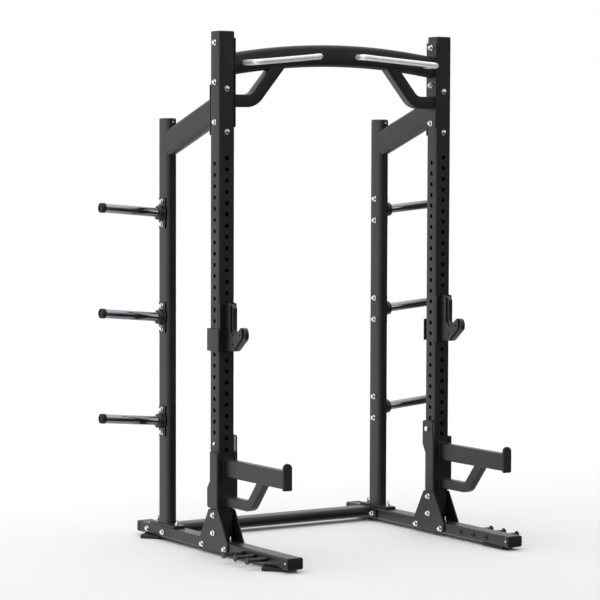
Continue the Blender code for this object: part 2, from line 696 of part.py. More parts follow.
# ---- J-hooks -------------------------------------------------------------------------------
def make_hook(label, side, finishes):
    """Make one J-hook: a wrap open to the inner side, two cheeks and a peg, with a plastic liner."""
    powder = finishes["powder"]
    front = TUBE_HALF + HOOK_FRONT_CLEARANCE
    outer = TUBE_HALF + HOOK_SIDE_CLEARANCE
    rear = TUBE_HALF + HOOK_BACK_CLEARANCE
    corners = (
        (-TUBE_HALF, -front - HOOK_PLATE),
        (outer + HOOK_PLATE, -front - HOOK_PLATE),
        (outer + HOOK_PLATE, rear + HOOK_PLATE),
        (-TUBE_HALF, rear + HOOK_PLATE),
        (-TUBE_HALF, rear),
        (outer, rear),
        (outer, -front),
        (-TUBE_HALF, -front),
    )
    radii = (0, HOOK_BEND, HOOK_BEND, 0, 0, HOOK_INNER_BEND, HOOK_INNER_BEND, 0)
    wrap = moved(rounded_corners(corners, radii), 0, UPRIGHT_Y)
    hook = prism(label + "_j_hook", along_z, mirrored(wrap, side), HOOK_BOTTOM, HOOK_WRAP_TOP, powder)
    face = UPRIGHT_Y - front - HOOK_PLATE
    plate_size = (TUBE, HOOK_TOP - HOOK_BOTTOM - HOOK_BEND)
    plate_center = (out_from(side, 0), HOOK_TOP - plate_size[1] / 2)
    plate_outline = moved(rounded_rectangle(*plate_size, HOOK_BEND), *plate_center)
    plate = prism("plate_tool", along_y, plate_outline, face, face + HOOK_PLATE, powder)
    boolean(hook, "UNION", plate)
    middle = -HOOK_INSET
    cheek = moved(hook_profile(HOOK_PLATE / 2, HOOK_CHEEK_LINE), face, 0)
    for sign in (-1, 1):
        low = out_from(side, middle + sign * HOOK_CHEEK_OFFSET)
        high = out_from(side, middle + sign * (HOOK_CHEEK_OFFSET + HOOK_CHEEK_THICKNESS))
        boolean(hook, "UNION", prism("cheek_tool", along_x, cheek, low, high, powder))
    peg_outline = moved(circle(HOOK_PEG_RADIUS, 12), UPRIGHT_Y, HOOK_PEG_Z)
    peg_x = (out_from(side, outer + HOOK_PLATE / 2), out_from(side, outer - HOOK_PEG_LENGTH))
    boolean(hook, "UNION", prism("peg_tool", along_x, peg_outline, *peg_x, powder))
    liner = moved(hook_profile(-GAP, HOOK_LINER_LINE), face, 0)
    inner = HOOK_CHEEK_OFFSET - GAP
    liner_x = (out_from(side, middle - inner), out_from(side, middle + inner))
    prism(label + "_j_hook_liner", along_x, liner, *liner_x, finishes["plastic"])


def hook_profile(back, line):
    """Return the J outline in (y, z) from its back edge through the points of its line."""
    corners, radii = zip(*(((y, z), radius) for y, z, radius in line))
    top = corners[0][1]
    bottom = corners[-1][1]
    return rounded_corners(((back, top), *corners, (back, bottom)), (0, *radii, 0))


# ---- spotter arms --------------------------------------------------------------------------
def make_spotter_arm(label, side, finishes):
    """Make one spotter arm: bracket round the upright, hollow arm and bent strut, in one weldment."""
    powder = finishes["powder"]
    inside = TUBE_HALF + ARM_SIDE_CLEARANCE
    outside = inside + ARM_PLATE
    near = -TUBE_HALF - ARM_CLEARANCE
    far = near - ARM_PLATE
    back = ARM_BRACKET_BACK
    corners = (
        (-outside, back),
        (-outside, far),
        (outside, far),
        (outside, back),
        (inside, back),
        (inside, near),
        (-inside, near),
        (-inside, back),
    )
    radii = (0, ARM_BEND, ARM_BEND, 0, 0, ARM_INNER_BEND, ARM_INNER_BEND, 0)
    channel = moved(rounded_corners(corners, radii), 0, UPRIGHT_Y)
    outline = mirrored(channel, side)
    arm = prism(label + "_spotter_arm", along_z, outline, ARM_BRACKET_BOTTOM, ARM_BRACKET_TOP, powder)
    lobes = ((-1, ARM_TAB_LINE, ARM_TAB_RADII), (1, ARM_LOBE_LINE, ARM_LOBE_RADII))
    for sign, line, lobe_radii in lobes:
        lobe = moved(rounded_corners(line, lobe_radii), UPRIGHT_Y, 0)
        low = out_from(side, sign * inside)
        high = out_from(side, sign * outside)
        boolean(arm, "UNION", prism("lobe_tool", along_x, lobe, low, high, powder))
    face = UPRIGHT_Y + far
    end = UPRIGHT_FRONT - ARM_END
    center = (out_from(side, 0), ARM_MID_Z)
    beam = moved(rounded_rectangle(ARM_WIDTH, ARM_HEIGHT, ARM_CORNER), *center)
    beam_tool = prism("beam_tool", along_y, beam, face + ARM_PLATE / 2, end, powder)
    void_size = (ARM_WIDTH - 2 * ARM_WALL, ARM_HEIGHT - 2 * ARM_WALL, ARM_CORNER - ARM_WALL)
    void = moved(rounded_rectangle(*void_size), *center)
    boolean(arm, "UNION", beam_tool, make_strut(side, face, powder))
    boolean(arm, "DIFFERENCE", prism("void_tool", along_y, void, face - GAP, end - TOOL_REACH, powder))
    hole = moved(circle(HOLE_DIAMETER / 2, HOLE_SIDES), UPRIGHT_Y, LOCK_PIN_Z)
    hole_x = (out_from(side, -TUBE_HALF), out_from(side, -outside - TOOL_REACH))
    boolean(arm, "DIFFERENCE", prism("hole_tool", along_x, hole, *hole_x, powder))
    make_arm_cap(label, side, end - GAP, finishes)
    make_lock_pin(label, side, outside + GAP, finishes)


def make_strut(side, face, powder):
    """Make the bent strut that props the arm from the foot of its bracket."""
    forward = Vector((0, -1, 0))
    rising = Vector((0, -math.cos(STRUT_ANGLE), math.sin(STRUT_ANGLE)))
    start = Vector((out_from(side, 0), face + ARM_PLATE / 2, STRUT_Z))
    corner = Vector((start.x, UPRIGHT_FRONT - STRUT_BEND, STRUT_Z))
    path = rounded_path([start, corner, corner + rising * STRUT_RUN], STRUT_BEND_RADIUS)
    outline = rounded_rectangle(STRUT_HEIGHT, STRUT_WIDTH, ARM_TUBE_CORNER)
    return swept("strut_tool", outline, path, Vector((1, 0, 0)), powder)


def make_arm_cap(label, side, start, finishes):
    """Make the upright rubber bumper on the end of a spotter arm, round at its top."""
    half = ARM_CAP_HALF_WIDTH
    crown = arc((0, ARM_CAP_TOP - half), half, 0, math.pi, 8)
    outline = moved([(half, ARM_CAP_BOTTOM), *crown, (-half, ARM_CAP_BOTTOM)], out_from(side, 0), 0)
    stations = (start, start - ARM_CAP_THICKNESS)
    prism(label + "_arm_cap", along_y, outline, *stations, finishes["rubber"])


def make_lock_pin(label, side, head_offset, finishes):
    """Make the headed pin that locks a spotter arm to one of the upright's side holes."""
    center = (UPRIGHT_Y, LOCK_PIN_Z)
    shank = circle(LOCK_PIN_RADIUS, 12)
    head = circle(LOCK_PIN_HEAD_RADIUS, 12)
    stations = (
        (head, -head_offset - LOCK_PIN_HEAD_LENGTH),
        (head, -head_offset),
        (shank, -head_offset),
        (shank, TUBE_HALF + LOCK_PIN_TIP),
    )
    sections = [along_x(moved(shape, *center), out_from(side, offset)) for shape, offset in stations]
    loft(label + "_lock_pin", sections, finishes["steel"])


def main():
    """Clear the scene and build the whole rack."""
    for item in list(bpy.data.objects):
        bpy.data.objects.remove(item, do_unlink=True)
    finishes = make_finishes()
    for label, side in SIDES:
        make_base_rail(label, side, finishes)
        make_upright(label, side, finishes)
        make_gusset(label + "_outer_gusset", side, 1, finishes)
        make_gusset(label + "_inner_gusset", side, -1, finishes)
        make_rear_upright(label, side, finishes)
        make_brace(label, side, finishes)
        make_horns(label, side, finishes)
        make_hook(label, side, finishes)
        make_spotter_arm(label, side, finishes)
        make_band_pegs(label, side, finishes)
    make_cross_member(finishes)
    make_beam(finishes)


main()
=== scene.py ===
"""Power cage: the visible model of a bolted half rack, built piece by piece round its fixed frame.

Metres, +Z up, the lifter stands at -Y. Many places and main sizes are read from the frame's boxes; the rest
are given as numbers below.
"""

from __future__ import annotations

import logging
import math
from dataclasses import dataclass, field
from enum import Enum
from typing import Any, Iterable, Sequence

import bmesh
import bpy
from mathutils import Matrix, Quaternion, Vector

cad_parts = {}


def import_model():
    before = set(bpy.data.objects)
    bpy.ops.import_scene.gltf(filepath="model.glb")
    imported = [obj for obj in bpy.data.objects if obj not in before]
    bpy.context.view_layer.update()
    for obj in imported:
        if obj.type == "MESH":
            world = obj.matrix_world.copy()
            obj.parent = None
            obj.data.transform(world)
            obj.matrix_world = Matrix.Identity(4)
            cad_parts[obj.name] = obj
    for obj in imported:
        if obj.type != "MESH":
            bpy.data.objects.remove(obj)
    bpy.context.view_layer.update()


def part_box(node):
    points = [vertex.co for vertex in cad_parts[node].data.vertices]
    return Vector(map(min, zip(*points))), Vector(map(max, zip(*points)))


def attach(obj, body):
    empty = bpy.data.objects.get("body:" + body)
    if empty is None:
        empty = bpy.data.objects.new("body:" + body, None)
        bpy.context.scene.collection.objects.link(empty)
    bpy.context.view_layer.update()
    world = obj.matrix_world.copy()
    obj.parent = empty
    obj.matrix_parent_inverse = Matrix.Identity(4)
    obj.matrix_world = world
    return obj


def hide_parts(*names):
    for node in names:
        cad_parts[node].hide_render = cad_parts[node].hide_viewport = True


LOG = logging.getLogger("power_cage")
RACK = "rack"
# The air between two parts that would share a face, and a bead line's distance off its tube.
GAP = 0.0003
PROUD = 0.0005
X_AXIS = Vector((1, 0, 0))
Y_AXIS = Vector((0, 1, 0))
Z_AXIS = Vector((0, 0, 1))

Outline = list[tuple[float, float]]
Ring = list[Vector]


class Side(Enum):
    """The two mirrored halves of the rack; the value is the sign of x."""

    LEFT = -1
    RIGHT = 1

    @property
    def label(self) -> str:
        """Return the half's name as the frame's nodes use it."""
        return self.name.lower()


@dataclass(frozen=True)
class Span:
    """The box of one node of the frame."""

    low: Vector
    high: Vector

    @classmethod
    def of(cls, node: str) -> "Span":
        """Read a node's box."""
        return cls(*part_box(node))

    @property
    def center(self) -> Vector:
        """Return the middle of the box."""
        return (self.low + self.high) / 2

    @property
    def size(self) -> Vector:
        """Return the box's size along each axis."""
        return self.high - self.low


# ---- outlines --------------------------------------------------------------------------------
def arc(center: Vector, radius: float, start: float, turn: float, steps: int) -> Outline:
    """Return points on a circular arc.

    Args:
        center: The arc's centre in its plane.
        radius: The arc's radius.
        start: The angle of the first point.
        turn: The signed angle that the arc covers.
        steps: The number of segments.

    Returns:
        The steps + 1 points, both ends included.
    """
    angles = [start + turn * step / steps for step in range(steps + 1)]
    return [(center[0] + radius * math.cos(a), center[1] + radius * math.sin(a)) for a in angles]


def rounded_polygon(corners: Sequence[Sequence[float]], radii: Sequence[float], steps: int = 8) -> Outline:
    """Return a polygon's outline with each corner turned into an arc of its own radius.

    Args:
        corners: The sharp corners in order.
        radii: One radius for each corner, 0 for a corner that stays sharp.
        steps: The number of segments in each arc.

    Returns:
        The outline's points.
    """
    points: Outline = []
    for index, radius in enumerate(radii):
        corner = Vector(corners[index][:2])
        if radius == 0:
            points.append((corner.x, corner.y))
            continue
        before = (Vector(corners[index - 1][:2]) - corner).normalized()
        after = (Vector(corners[(index + 1) % len(corners)][:2]) - corner).normalized()
        half = before.angle(after) / 2
        center = corner + (before + after).normalized() * (radius / math.sin(half))
        start = corner + before * (radius / math.tan(half)) - center
        end = corner + after * (radius / math.tan(half)) - center
        first = math.atan2(start.y, start.x)
        turn = (math.atan2(end.y, end.x) - first + math.pi) % math.tau - math.pi
        points += arc(center, radius, first, turn, steps)
    return points


def rounded_rectangle(width: float, height: float, radius: float, steps: int = 8) -> Outline:
    """Return a rounded rectangle about the origin, counter-clockwise."""
    u, v = width / 2, height / 2
    return rounded_polygon(((u, -v), (u, v), (-u, v), (-u, -v)), (radius,) * 4, steps)


def circle(radius: float, sides: int = 48) -> Outline:
    """Return a regular polygon of many sides about the origin."""
    return arc(Vector((0, 0)), radius, 0, math.tau * (sides - 1) / sides, sides - 1)


# ---- solids ----------------------------------------------------------------------------------
@dataclass(frozen=True)
class Axes:
    """A plane to draw an outline in: its origin, its two directions and the way it is extruded."""

    origin: Vector
    u: Vector
    v: Vector

    @property
    def normal(self) -> Vector:
        """Return the direction of extrusion."""
        return self.u.cross(self.v)

    def ring(self, outline: Outline, run: float = 0.0) -> Ring:
        """Place an outline at a distance along the normal."""
        base = self.origin + self.normal * run
        return [base + self.u * u + self.v * v for u, v in outline]


def skin(rings: Sequence[Ring], bore: Sequence[Ring] = ()) -> bmesh.types.BMesh:
    """Skin equal-length rings into a closed solid, or a tube where a bore is given.

    Args:
        rings: The outer rings from one end to the other.
        bore: The inner rings of a tube, as many as the outer ones.

    Returns:
        A bmesh with its faces turned outward.
    """
    work = bmesh.new()
    shells = [
        [[work.verts.new(point) for point in ring] for ring in shell] for shell in (rings, bore) if shell
    ]
    bands = [band for shell in shells for band in zip(shell, shell[1:])]
    if bore:
        bands += [(shells[0][end], shells[1][end]) for end in (0, -1)]
    count = len(rings[0])
    for low, high in bands:
        for i in range(count):
            j = (i + 1) % count
            work.faces.new((low[i], low[j], high[j], high[i]))
    if not bore:
        for end in (0, -1):
            work.faces.new(shells[0][end])
    bmesh.ops.recalc_face_normals(work, faces=work.faces)
    return work


def prism(axes: Axes, outline: Outline, length: float, bore: Outline | None = None) -> bmesh.types.BMesh:
    """Extrude an outline along its plane's normal, as a solid or as a tube."""
    inner = [axes.ring(bore), axes.ring(bore, length)] if bore else ()
    return skin([axes.ring(outline), axes.ring(outline, length)], inner)


def turned(axes: Axes, profile: Sequence[tuple[float, float]], sides: int = 48) -> bmesh.types.BMesh:
    """Turn a profile of (distance, radius) about the plane's normal."""
    return skin([axes.ring(circle(radius, sides), run) for run, radius in profile])


def swept(outline: Outline, path: Sequence[Vector], up: Vector) -> list[Ring]:
    """Return the rings of an outline swept along a path, its v axis near the up direction.

    Args:
        outline: The section, about the path.
        path: The points that the section passes.
        up: The direction that the section's v axis leans to.

    Returns:
        One ring for each point of the path.
    """
    rings = []
    for index, point in enumerate(path):
        tangent = Vector((0, 0, 0))
        if index > 0:
            tangent += (point - path[index - 1]).normalized()
        if index < len(path) - 1:
            tangent += (path[index + 1] - point).normalized()
        side = tangent.cross(up).normalized()
        rise = side.cross(tangent.normalized())
        rings.append([point + side * u + rise * v for u, v in outline])
    return rings


def rounded_path(points: Sequence[Vector], radius: float, steps: int) -> list[Vector]:
    """Return a 3-D polyline with its inner corners turned into arcs.

    Args:
        points: The polyline's corners, with its two ends.
        radius: The radius of each bend.
        steps: The number of segments in each bend.

    Returns:
        The path's points.
    """
    path = [points[0]]
    for before, corner, after in zip(points, points[1:], points[2:]):
        first = (corner - before).normalized()
        second = (after - corner).normalized()
        turn = first.angle(second)
        axis = first.cross(second).normalized()
        entry = corner - first * radius * math.tan(turn / 2)
        center = entry + axis.cross(first) * radius
        path += [center + Quaternion(axis, turn * i / steps) @ (entry - center) for i in range(steps + 1)]
    return path + [points[-1]]


def evenly(path: Sequence[Vector], pitch: float) -> list[Vector]:
    """Return a polyline's points respaced at an even pitch.

    Args:
        path: The polyline.
        pitch: The spacing to come near to.

    Returns:
        The new points, both ends included.
    """
    lengths = [0.0]
    for a, b in zip(path, path[1:]):
        lengths.append(lengths[-1] + (b - a).length)
    count = max(2, round(lengths[-1] / pitch))
    points = []
    segment = 0
    for step in range(count + 1):
        run = lengths[-1] * step / count
        while segment < len(path) - 2 and lengths[segment + 1] < run:
            segment += 1
        reach = lengths[segment + 1] - lengths[segment]
        points.append(path[segment].lerp(path[segment + 1], (run - lengths[segment]) / reach))
    return points


def joined(*parts: bmesh.types.BMesh) -> bmesh.types.BMesh:
    """Put several closed shells in one bmesh.

    Args:
        *parts: The shells, which are used up.

    Returns:
        One bmesh that holds them all.
    """
    whole = bmesh.new()
    for part in parts:
        mesh = bpy.data.meshes.new("part")
        part.to_mesh(mesh)
        part.free()
        whole.from_mesh(mesh)
        bpy.data.meshes.remove(mesh)
    return whole


# ---- node trees ------------------------------------------------------------------------------
def add_node(
    tree: bpy.types.NodeTree, kind: str, inputs: dict[Any, Any] | None = None, **settings: Any
) -> Any:
    """Add a node, set its properties, and set or link its inputs.

    Args:
        tree: The tree that gets the node.
        kind: The node's type name.
        inputs: Values or output sockets by the input's name or index.
        **settings: The node's own properties.

    Returns:
        The new node.
    """
    node = tree.nodes.new(kind)
    for name, value in settings.items():
        setattr(node, name, value)
    for key, value in (inputs or {}).items():
        if isinstance(value, bpy.types.NodeSocket):
            tree.links.new(value, node.inputs[key])
        else:
            node.inputs[key].default_value = value
    return node


def linear(code: str) -> tuple[float, float, float, float]:
    """Turn an sRGB hex value into a linear colour."""
    shades = [int(code[i : i + 2], 16) / 255 for i in (0, 2, 4)]
    return (*(s / 12.92 if s <= 0.04045 else ((s + 0.055) / 1.055) ** 2.4 for s in shades), 1.0)


@dataclass(frozen=True)
class GrainedFinish:
    """A finish whose colour and gloss wander a little and whose surface has a fine grain.

    Attributes:
        name: The material's name.
        slot: The record's slot for it.
        light: The lighter sRGB shade of its colour.
        dark: The darker sRGB shade.
        metallic: 1 for bare metal, 0 for a coating, rubber or plastic.
        gloss: The lowest and highest roughness.
        grain_mm: The size of the surface grain.
        relief_mm: The height of the grain.
        drift_mm: The size of the slow change in colour and gloss.
    """

    name: str
    slot: str
    light: str
    dark: str
    metallic: float
    gloss: tuple[float, float]
    grain_mm: float
    relief_mm: float
    drift_mm: float

    def build(self) -> bpy.types.Material:
        """Make the material.

        Returns:
            The material, ready for any piece.
        """
        material = bpy.data.materials.new(self.name)
        material.use_nodes = True
        tree = material.node_tree
        shader = tree.nodes["Principled BSDF"]
        shader.inputs["Metallic"].default_value = self.metallic
        place = add_node(tree, "ShaderNodeTexCoord").outputs["Object"]
        drift, grain = (
            add_node(tree, "ShaderNodeTexNoise", {"Vector": place, "Scale": 1000 / size, "Detail": 3.0})
            for size in (self.drift_mm, self.grain_mm)
        )
        shade = add_node(tree, "ShaderNodeValToRGB", {"Fac": drift.outputs["Fac"]})
        low, high = shade.color_ramp.elements
        low.position, high.position = 0.35, 0.65
        low.color, high.color = linear(self.dark), linear(self.light)
        limits = {"From Min": 0.3, "From Max": 0.7, "To Min": self.gloss[0], "To Max": self.gloss[1]}
        gloss = add_node(tree, "ShaderNodeMapRange", {"Value": drift.outputs["Fac"]} | limits)
        relief = {"Height": grain.outputs["Fac"], "Distance": self.relief_mm / 1000, "Strength": 0.6}
        bump = add_node(tree, "ShaderNodeBump", relief)
        tree.links.new(shade.outputs["Color"], shader.inputs["Base Color"])
        tree.links.new(gloss.outputs["Result"], shader.inputs["Roughness"])
        tree.links.new(bump.outputs["Normal"], shader.inputs["Normal"])
        return material


class Finish(Enum):
    """The rack's finishes."""

    # Baked powder coat: a satin black whose faint orange peel blurs its gloss.
    POWDER = GrainedFinish(
        "powder_coat_satin_black", "powder_coat", "161617", "101011", 0, (0.36, 0.44), 1.4, 0.02, 240
    )
    # Chrome plate on steel tube: near mirror, with a slight haze left by polishing.
    CHROME = GrainedFinish(
        "chrome_plate_polished", "chrome", "8f9195", "85878b", 1, (0.05, 0.10), 9, 0.008, 60
    )
    # Chrome plate over a rolled knurl: bright peaks, duller valleys.
    KNURLED = GrainedFinish(
        "chrome_plate_knurled", "chrome", "f2f2f3", "e4e4e6", 0.6, (0.34, 0.44), 2, 0.02, 12
    )
    # Bright zinc plate on machine bolts: a soft grey metal with uneven lustre.
    ZINC = GrainedFinish("zinc_plate_bright", "zinc", "f0f1f4", "dcdee2", 1, (0.10, 0.20), 0.8, 0.006, 9)
    # Black oxide on small socket screws: dark metal that hardly shines.
    OXIDE = GrainedFinish("black_oxide_steel", "zinc", "2a2a2b", "161617", 1, (0.35, 0.5), 0.6, 0.01, 6)
    # Moulded black rubber: matt, with the fine grain of its mould.
    RUBBER = GrainedFinish(
        "rubber_moulded_black", "rubber", "161616", "101010", 0, (0.62, 0.78), 1.1, 0.05, 40
    )
    # Moulded polyethylene caps: black with a spark-eroded grain.
    PLASTIC = GrainedFinish(
        "polyethylene_moulded_black", "plastic", "161617", "101011", 0, (0.38, 0.5), 0.9, 0.03, 50
    )
    # Natural polyethylene sheet: milky white and waxy.
    PAD = GrainedFinish(
        "polyethylene_sheet_natural", "plastic", "e8e8e6", "dededc", 0, (0.35, 0.45), 2, 0.01, 30
    )
    # Machined polyethylene liner: waxy black, a little slicker than the caps.
    LINER = GrainedFinish(
        "polyethylene_liner_black", "plastic", "161617", "0f0f10", 0, (0.28, 0.38), 2.5, 0.02, 30
    )


# ---- the workshop: meshes into finished pieces -------------------------------------------------
class Workshop:
    """Turns meshes into finished pieces of the rack, and logs each one."""

    def __init__(self) -> None:
        """Mix every finish and build the node trees for repeated work."""
        self.finishes = {finish: finish.value.build() for finish in Finish}
        self.ladder_tree = build_hole_ladder()
        self.row_tree = build_fastener_row()
        self.bead_tree = build_weld_bead()
        self.knurl_tree = build_knurl()
        self.beads: list[bpy.types.Object] = []

    def host(self, name: str, work: bmesh.types.BMesh) -> bpy.types.Object:
        """Put a bmesh in a linked object at the origin.

        Args:
            name: The object's name.
            work: The bmesh, which is used up.

        Returns:
            The new object.
        """
        mesh = bpy.data.meshes.new(name)
        work.to_mesh(mesh)
        work.free()
        host = bpy.data.objects.new(name, mesh)
        bpy.context.scene.collection.objects.link(host)
        return host

    def bake(self, piece: bpy.types.Object) -> bpy.types.Object:
        """Replace a piece's mesh with the plain mesh of its evaluated modifiers.

        Args:
            piece: The piece with its modifiers.

        Returns:
            The same piece, with no modifier left.
        """
        bpy.context.view_layer.update()
        graph = bpy.context.evaluated_depsgraph_get()
        mesh = bpy.data.meshes.new_from_object(piece.evaluated_get(graph))
        piece.modifiers.clear()
        old = piece.data
        piece.data = mesh
        bpy.data.meshes.remove(old)
        mesh.name = piece.name
        return piece

    def run_tree(self, piece: bpy.types.Object, tree: bpy.types.NodeTree, inputs: dict[str, Any]) -> None:
        """Run a geometry tree on a piece and keep the result as its mesh.

        Args:
            piece: The piece.
            tree: The tree.
            inputs: The tree's inputs by name.
        """
        modifier = piece.modifiers.new(tree.name, "NODES")
        modifier.node_group = tree
        sockets = {item.name: item.identifier for item in tree.interface.items_tree if item.in_out == "INPUT"}
        for name, value in inputs.items():
            modifier[sockets[name]] = value
        self.bake(piece)

    def combine(self, piece: bpy.types.Object, operation: str, *tools: bmesh.types.BMesh) -> None:
        """Join tools' shapes to a piece or cut them away from it, by a boolean operation's name.

        Args:
            piece: The piece that is changed.
            operation: UNION or DIFFERENCE.
            *tools: The tools' shapes, which are used up.
        """
        for tool in tools:
            other = self.host("tool", tool)
            modifier = piece.modifiers.new("combine", "BOOLEAN")
            modifier.operation = operation
            modifier.solver = "EXACT"
            modifier.object = other
            self.bake(piece)
            bpy.data.objects.remove(other, do_unlink=True)

    def ease(self, piece: bpy.types.Object, width: float, segments: int = 2, angle: float = 50) -> None:
        """Round a piece's sharp edges and shade the rest smoothly.

        Args:
            piece: The piece.
            width: The width of the rounding.
            segments: The facets of the rounding.
            angle: The smallest angle in degrees that counts as an edge.
        """
        piece.data.shade_smooth()
        modifier = piece.modifiers.new("ease", "BEVEL")
        modifier.width = width
        modifier.segments = segments
        modifier.limit_method = "ANGLE"
        modifier.angle_limit = math.radians(angle)
        modifier.harden_normals = True
        modifier.use_clamp_overlap = True
        self.bake(piece)

    def dress(
        self, piece: bpy.types.Object, finish: Finish, body: str = RACK, stands_for: Sequence[str] = ()
    ) -> bpy.types.Object:
        """Give a piece its finish, its body and the nodes that it stands for.

        Args:
            piece: The piece, with its place in its mesh.
            finish: The finish that it takes.
            body: The frame's body that it rides on.
            stands_for: The frame's nodes that it replaces.

        Returns:
            The same piece.
        """
        piece.data.materials.clear()
        piece.data.materials.append(self.finishes[finish])
        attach(piece, body)
        if stands_for:
            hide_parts(*stands_for)
        LOG.info("%s: %s, %d faces on %s", piece.name, finish.name, len(piece.data.polygons), body)
        return piece

    def make(
        self,
        name: str,
        work: bmesh.types.BMesh,
        finish: Finish,
        ease: float = 0.0008,
        body: str = RACK,
        stands_for: Sequence[str] = (),
        angle: float = 50,
    ) -> bpy.types.Object:
        """Make a finished piece straight from a bmesh, with eased edges.

        Args:
            name: The piece's name.
            work: Its shape, which is used up.
            finish: The finish that it takes.
            ease: The width of its eased edges.
            body: The frame's body that it rides on.
            stands_for: The frame's nodes that it replaces.
            angle: The smallest angle in degrees that is eased.

        Returns:
            The finished piece.
        """
        piece = self.host(name, work)
        self.ease(piece, ease, angle=angle)
        return self.dress(piece, finish, body, stands_for)

    def bead(self, ring: Ring, radius: float = 0.0028) -> None:
        """Lay a rippled weld bead along a closed ring of points, to be gathered later.

        Args:
            ring: The bead's line.
            radius: The bead's mean radius.
        """
        work = bmesh.new()
        verts = [work.verts.new(point) for point in ring]
        for a, b in zip(verts, verts[1:] + verts[:1]):
            work.edges.new((a, b))
        piece = self.host("bead", work)
        self.run_tree(piece, self.bead_tree, {"Radius": radius, "Finish": self.finishes[Finish.POWDER]})
        self.beads.append(piece)

    def gather_beads(self, name: str) -> None:
        """Make one piece of the beads laid since the last gathering.

        Args:
            name: The piece's name.
        """
        work = bmesh.new()
        for part in self.beads:
            work.from_mesh(part.data)
            bpy.data.objects.remove(part, do_unlink=True)
        self.beads.clear()
        piece = self.host(name, work)
        piece.data.shade_smooth()
        self.dress(piece, Finish.POWDER)


def tree_with(name: str, sockets: Sequence[tuple[str, str, Any]]) -> tuple[Any, Any]:
    """Start a geometry tree with named inputs.

    Args:
        name: The tree's name.
        sockets: The name, socket type and default of each input after the geometry.

    Returns:
        The tree and its input node.
    """
    tree = bpy.data.node_groups.new(name, "GeometryNodeTree")
    tree.interface.new_socket("Geometry", in_out="INPUT", socket_type="NodeSocketGeometry")
    for label, kind, default in sockets:
        socket = tree.interface.new_socket(label, in_out="INPUT", socket_type=kind)
        if default is not None:
            socket.default_value = default
    tree.interface.new_socket("Geometry", in_out="OUTPUT", socket_type="NodeSocketGeometry")
    return tree, tree.nodes.new("NodeGroupInput")


def close_tree(tree: Any, geometry: Any, finish: Any) -> Any:
    """End a tree in Realize Instances and Set Material.

    Args:
        tree: The tree.
        geometry: The socket with the finished geometry.
        finish: The socket with its material.

    Returns:
        The same tree.
    """
    real = add_node(tree, "GeometryNodeRealizeInstances", {"Geometry": geometry})
    coated = add_node(tree, "GeometryNodeSetMaterial", {"Geometry": real.outputs[0], "Material": finish})
    add_node(tree, "NodeGroupOutput", {0: coated.outputs[0]})
    return tree


def build_hole_ladder() -> Any:
    """Build the tree that drills a ladder of round holes through a tube.

    Returns:
        The tree, whose last input is the finish.
    """
    sockets = (
        ("Start", "NodeSocketVector", None),
        ("Turn", "NodeSocketVector", None),
        ("Count", "NodeSocketInt", 30),
        ("Pitch", "NodeSocketFloat", 0.05),
        ("Radius", "NodeSocketFloat", 0.0100),
        ("Depth", "NodeSocketFloat", 0.1),
        ("Finish", "NodeSocketMaterial", None),
    )
    tree, entry = tree_with("hole_ladder", sockets)
    step = add_node(tree, "ShaderNodeMath", {0: entry.outputs["Pitch"], 1: -1.0}, operation="MULTIPLY")
    offset = add_node(tree, "ShaderNodeCombineXYZ", {"Z": step.outputs[0]})
    line_inputs = {"Count": entry.outputs["Count"], "Start Location": entry.outputs["Start"]}
    line = add_node(tree, "GeometryNodeMeshLine", line_inputs | {"Offset": offset.outputs[0]})
    drill_inputs = {"Vertices": 32, "Radius": entry.outputs["Radius"], "Depth": entry.outputs["Depth"]}
    drill = add_node(tree, "GeometryNodeMeshCylinder", drill_inputs)
    holes_inputs = {"Points": line.outputs[0], "Instance": drill.outputs["Mesh"]}
    holes_inputs |= {"Rotation": entry.outputs["Turn"]}
    holes = add_node(tree, "GeometryNodeInstanceOnPoints", holes_inputs)
    solid = add_node(tree, "GeometryNodeRealizeInstances", {"Geometry": holes.outputs[0]})
    cut = add_node(tree, "GeometryNodeMeshBoolean", operation="DIFFERENCE", solver="EXACT")
    tree.links.new(entry.outputs["Geometry"], cut.inputs["Mesh 1"])
    tree.links.new(solid.outputs[0], cut.inputs["Mesh 2"])
    return close_tree(tree, cut.outputs["Mesh"], entry.outputs["Finish"])


def build_fastener_row() -> Any:
    """Build the tree that sets a fastener on every point, along the point's outward direction.

    Returns:
        The tree, whose last input is the finish.
    """
    sockets = (
        ("Head", "NodeSocketObject", None),
        ("Seed", "NodeSocketInt", 3),
        ("Finish", "NodeSocketMaterial", None),
    )
    tree, entry = tree_with("fastener_row", sockets)
    head = add_node(tree, "GeometryNodeObjectInfo", {"Object": entry.outputs["Head"]})
    outward = add_node(
        tree, "GeometryNodeInputNamedAttribute", {"Name": "outward"}, data_type="FLOAT_VECTOR"
    )
    aim = add_node(tree, "FunctionNodeAlignRotationToVector", {"Vector": outward.outputs[0]}, axis="Z")
    clock_inputs = {2: 0.0, 3: math.tau, "Seed": entry.outputs["Seed"]}
    clock = add_node(tree, "FunctionNodeRandomValue", clock_inputs, data_type="FLOAT")
    spin = add_node(tree, "ShaderNodeCombineXYZ", {"Z": clock.outputs[1]})
    turn = add_node(tree, "FunctionNodeEulerToRotation", {0: spin.outputs[0]})
    whole = add_node(tree, "FunctionNodeRotateRotation", {0: aim.outputs[0], 1: turn.outputs[0]})
    whole.rotation_space = "LOCAL"
    row_inputs = {"Points": entry.outputs["Geometry"], "Instance": head.outputs["Geometry"]}
    row = add_node(tree, "GeometryNodeInstanceOnPoints", row_inputs | {"Rotation": whole.outputs[0]})
    return close_tree(tree, row.outputs[0], entry.outputs["Finish"])


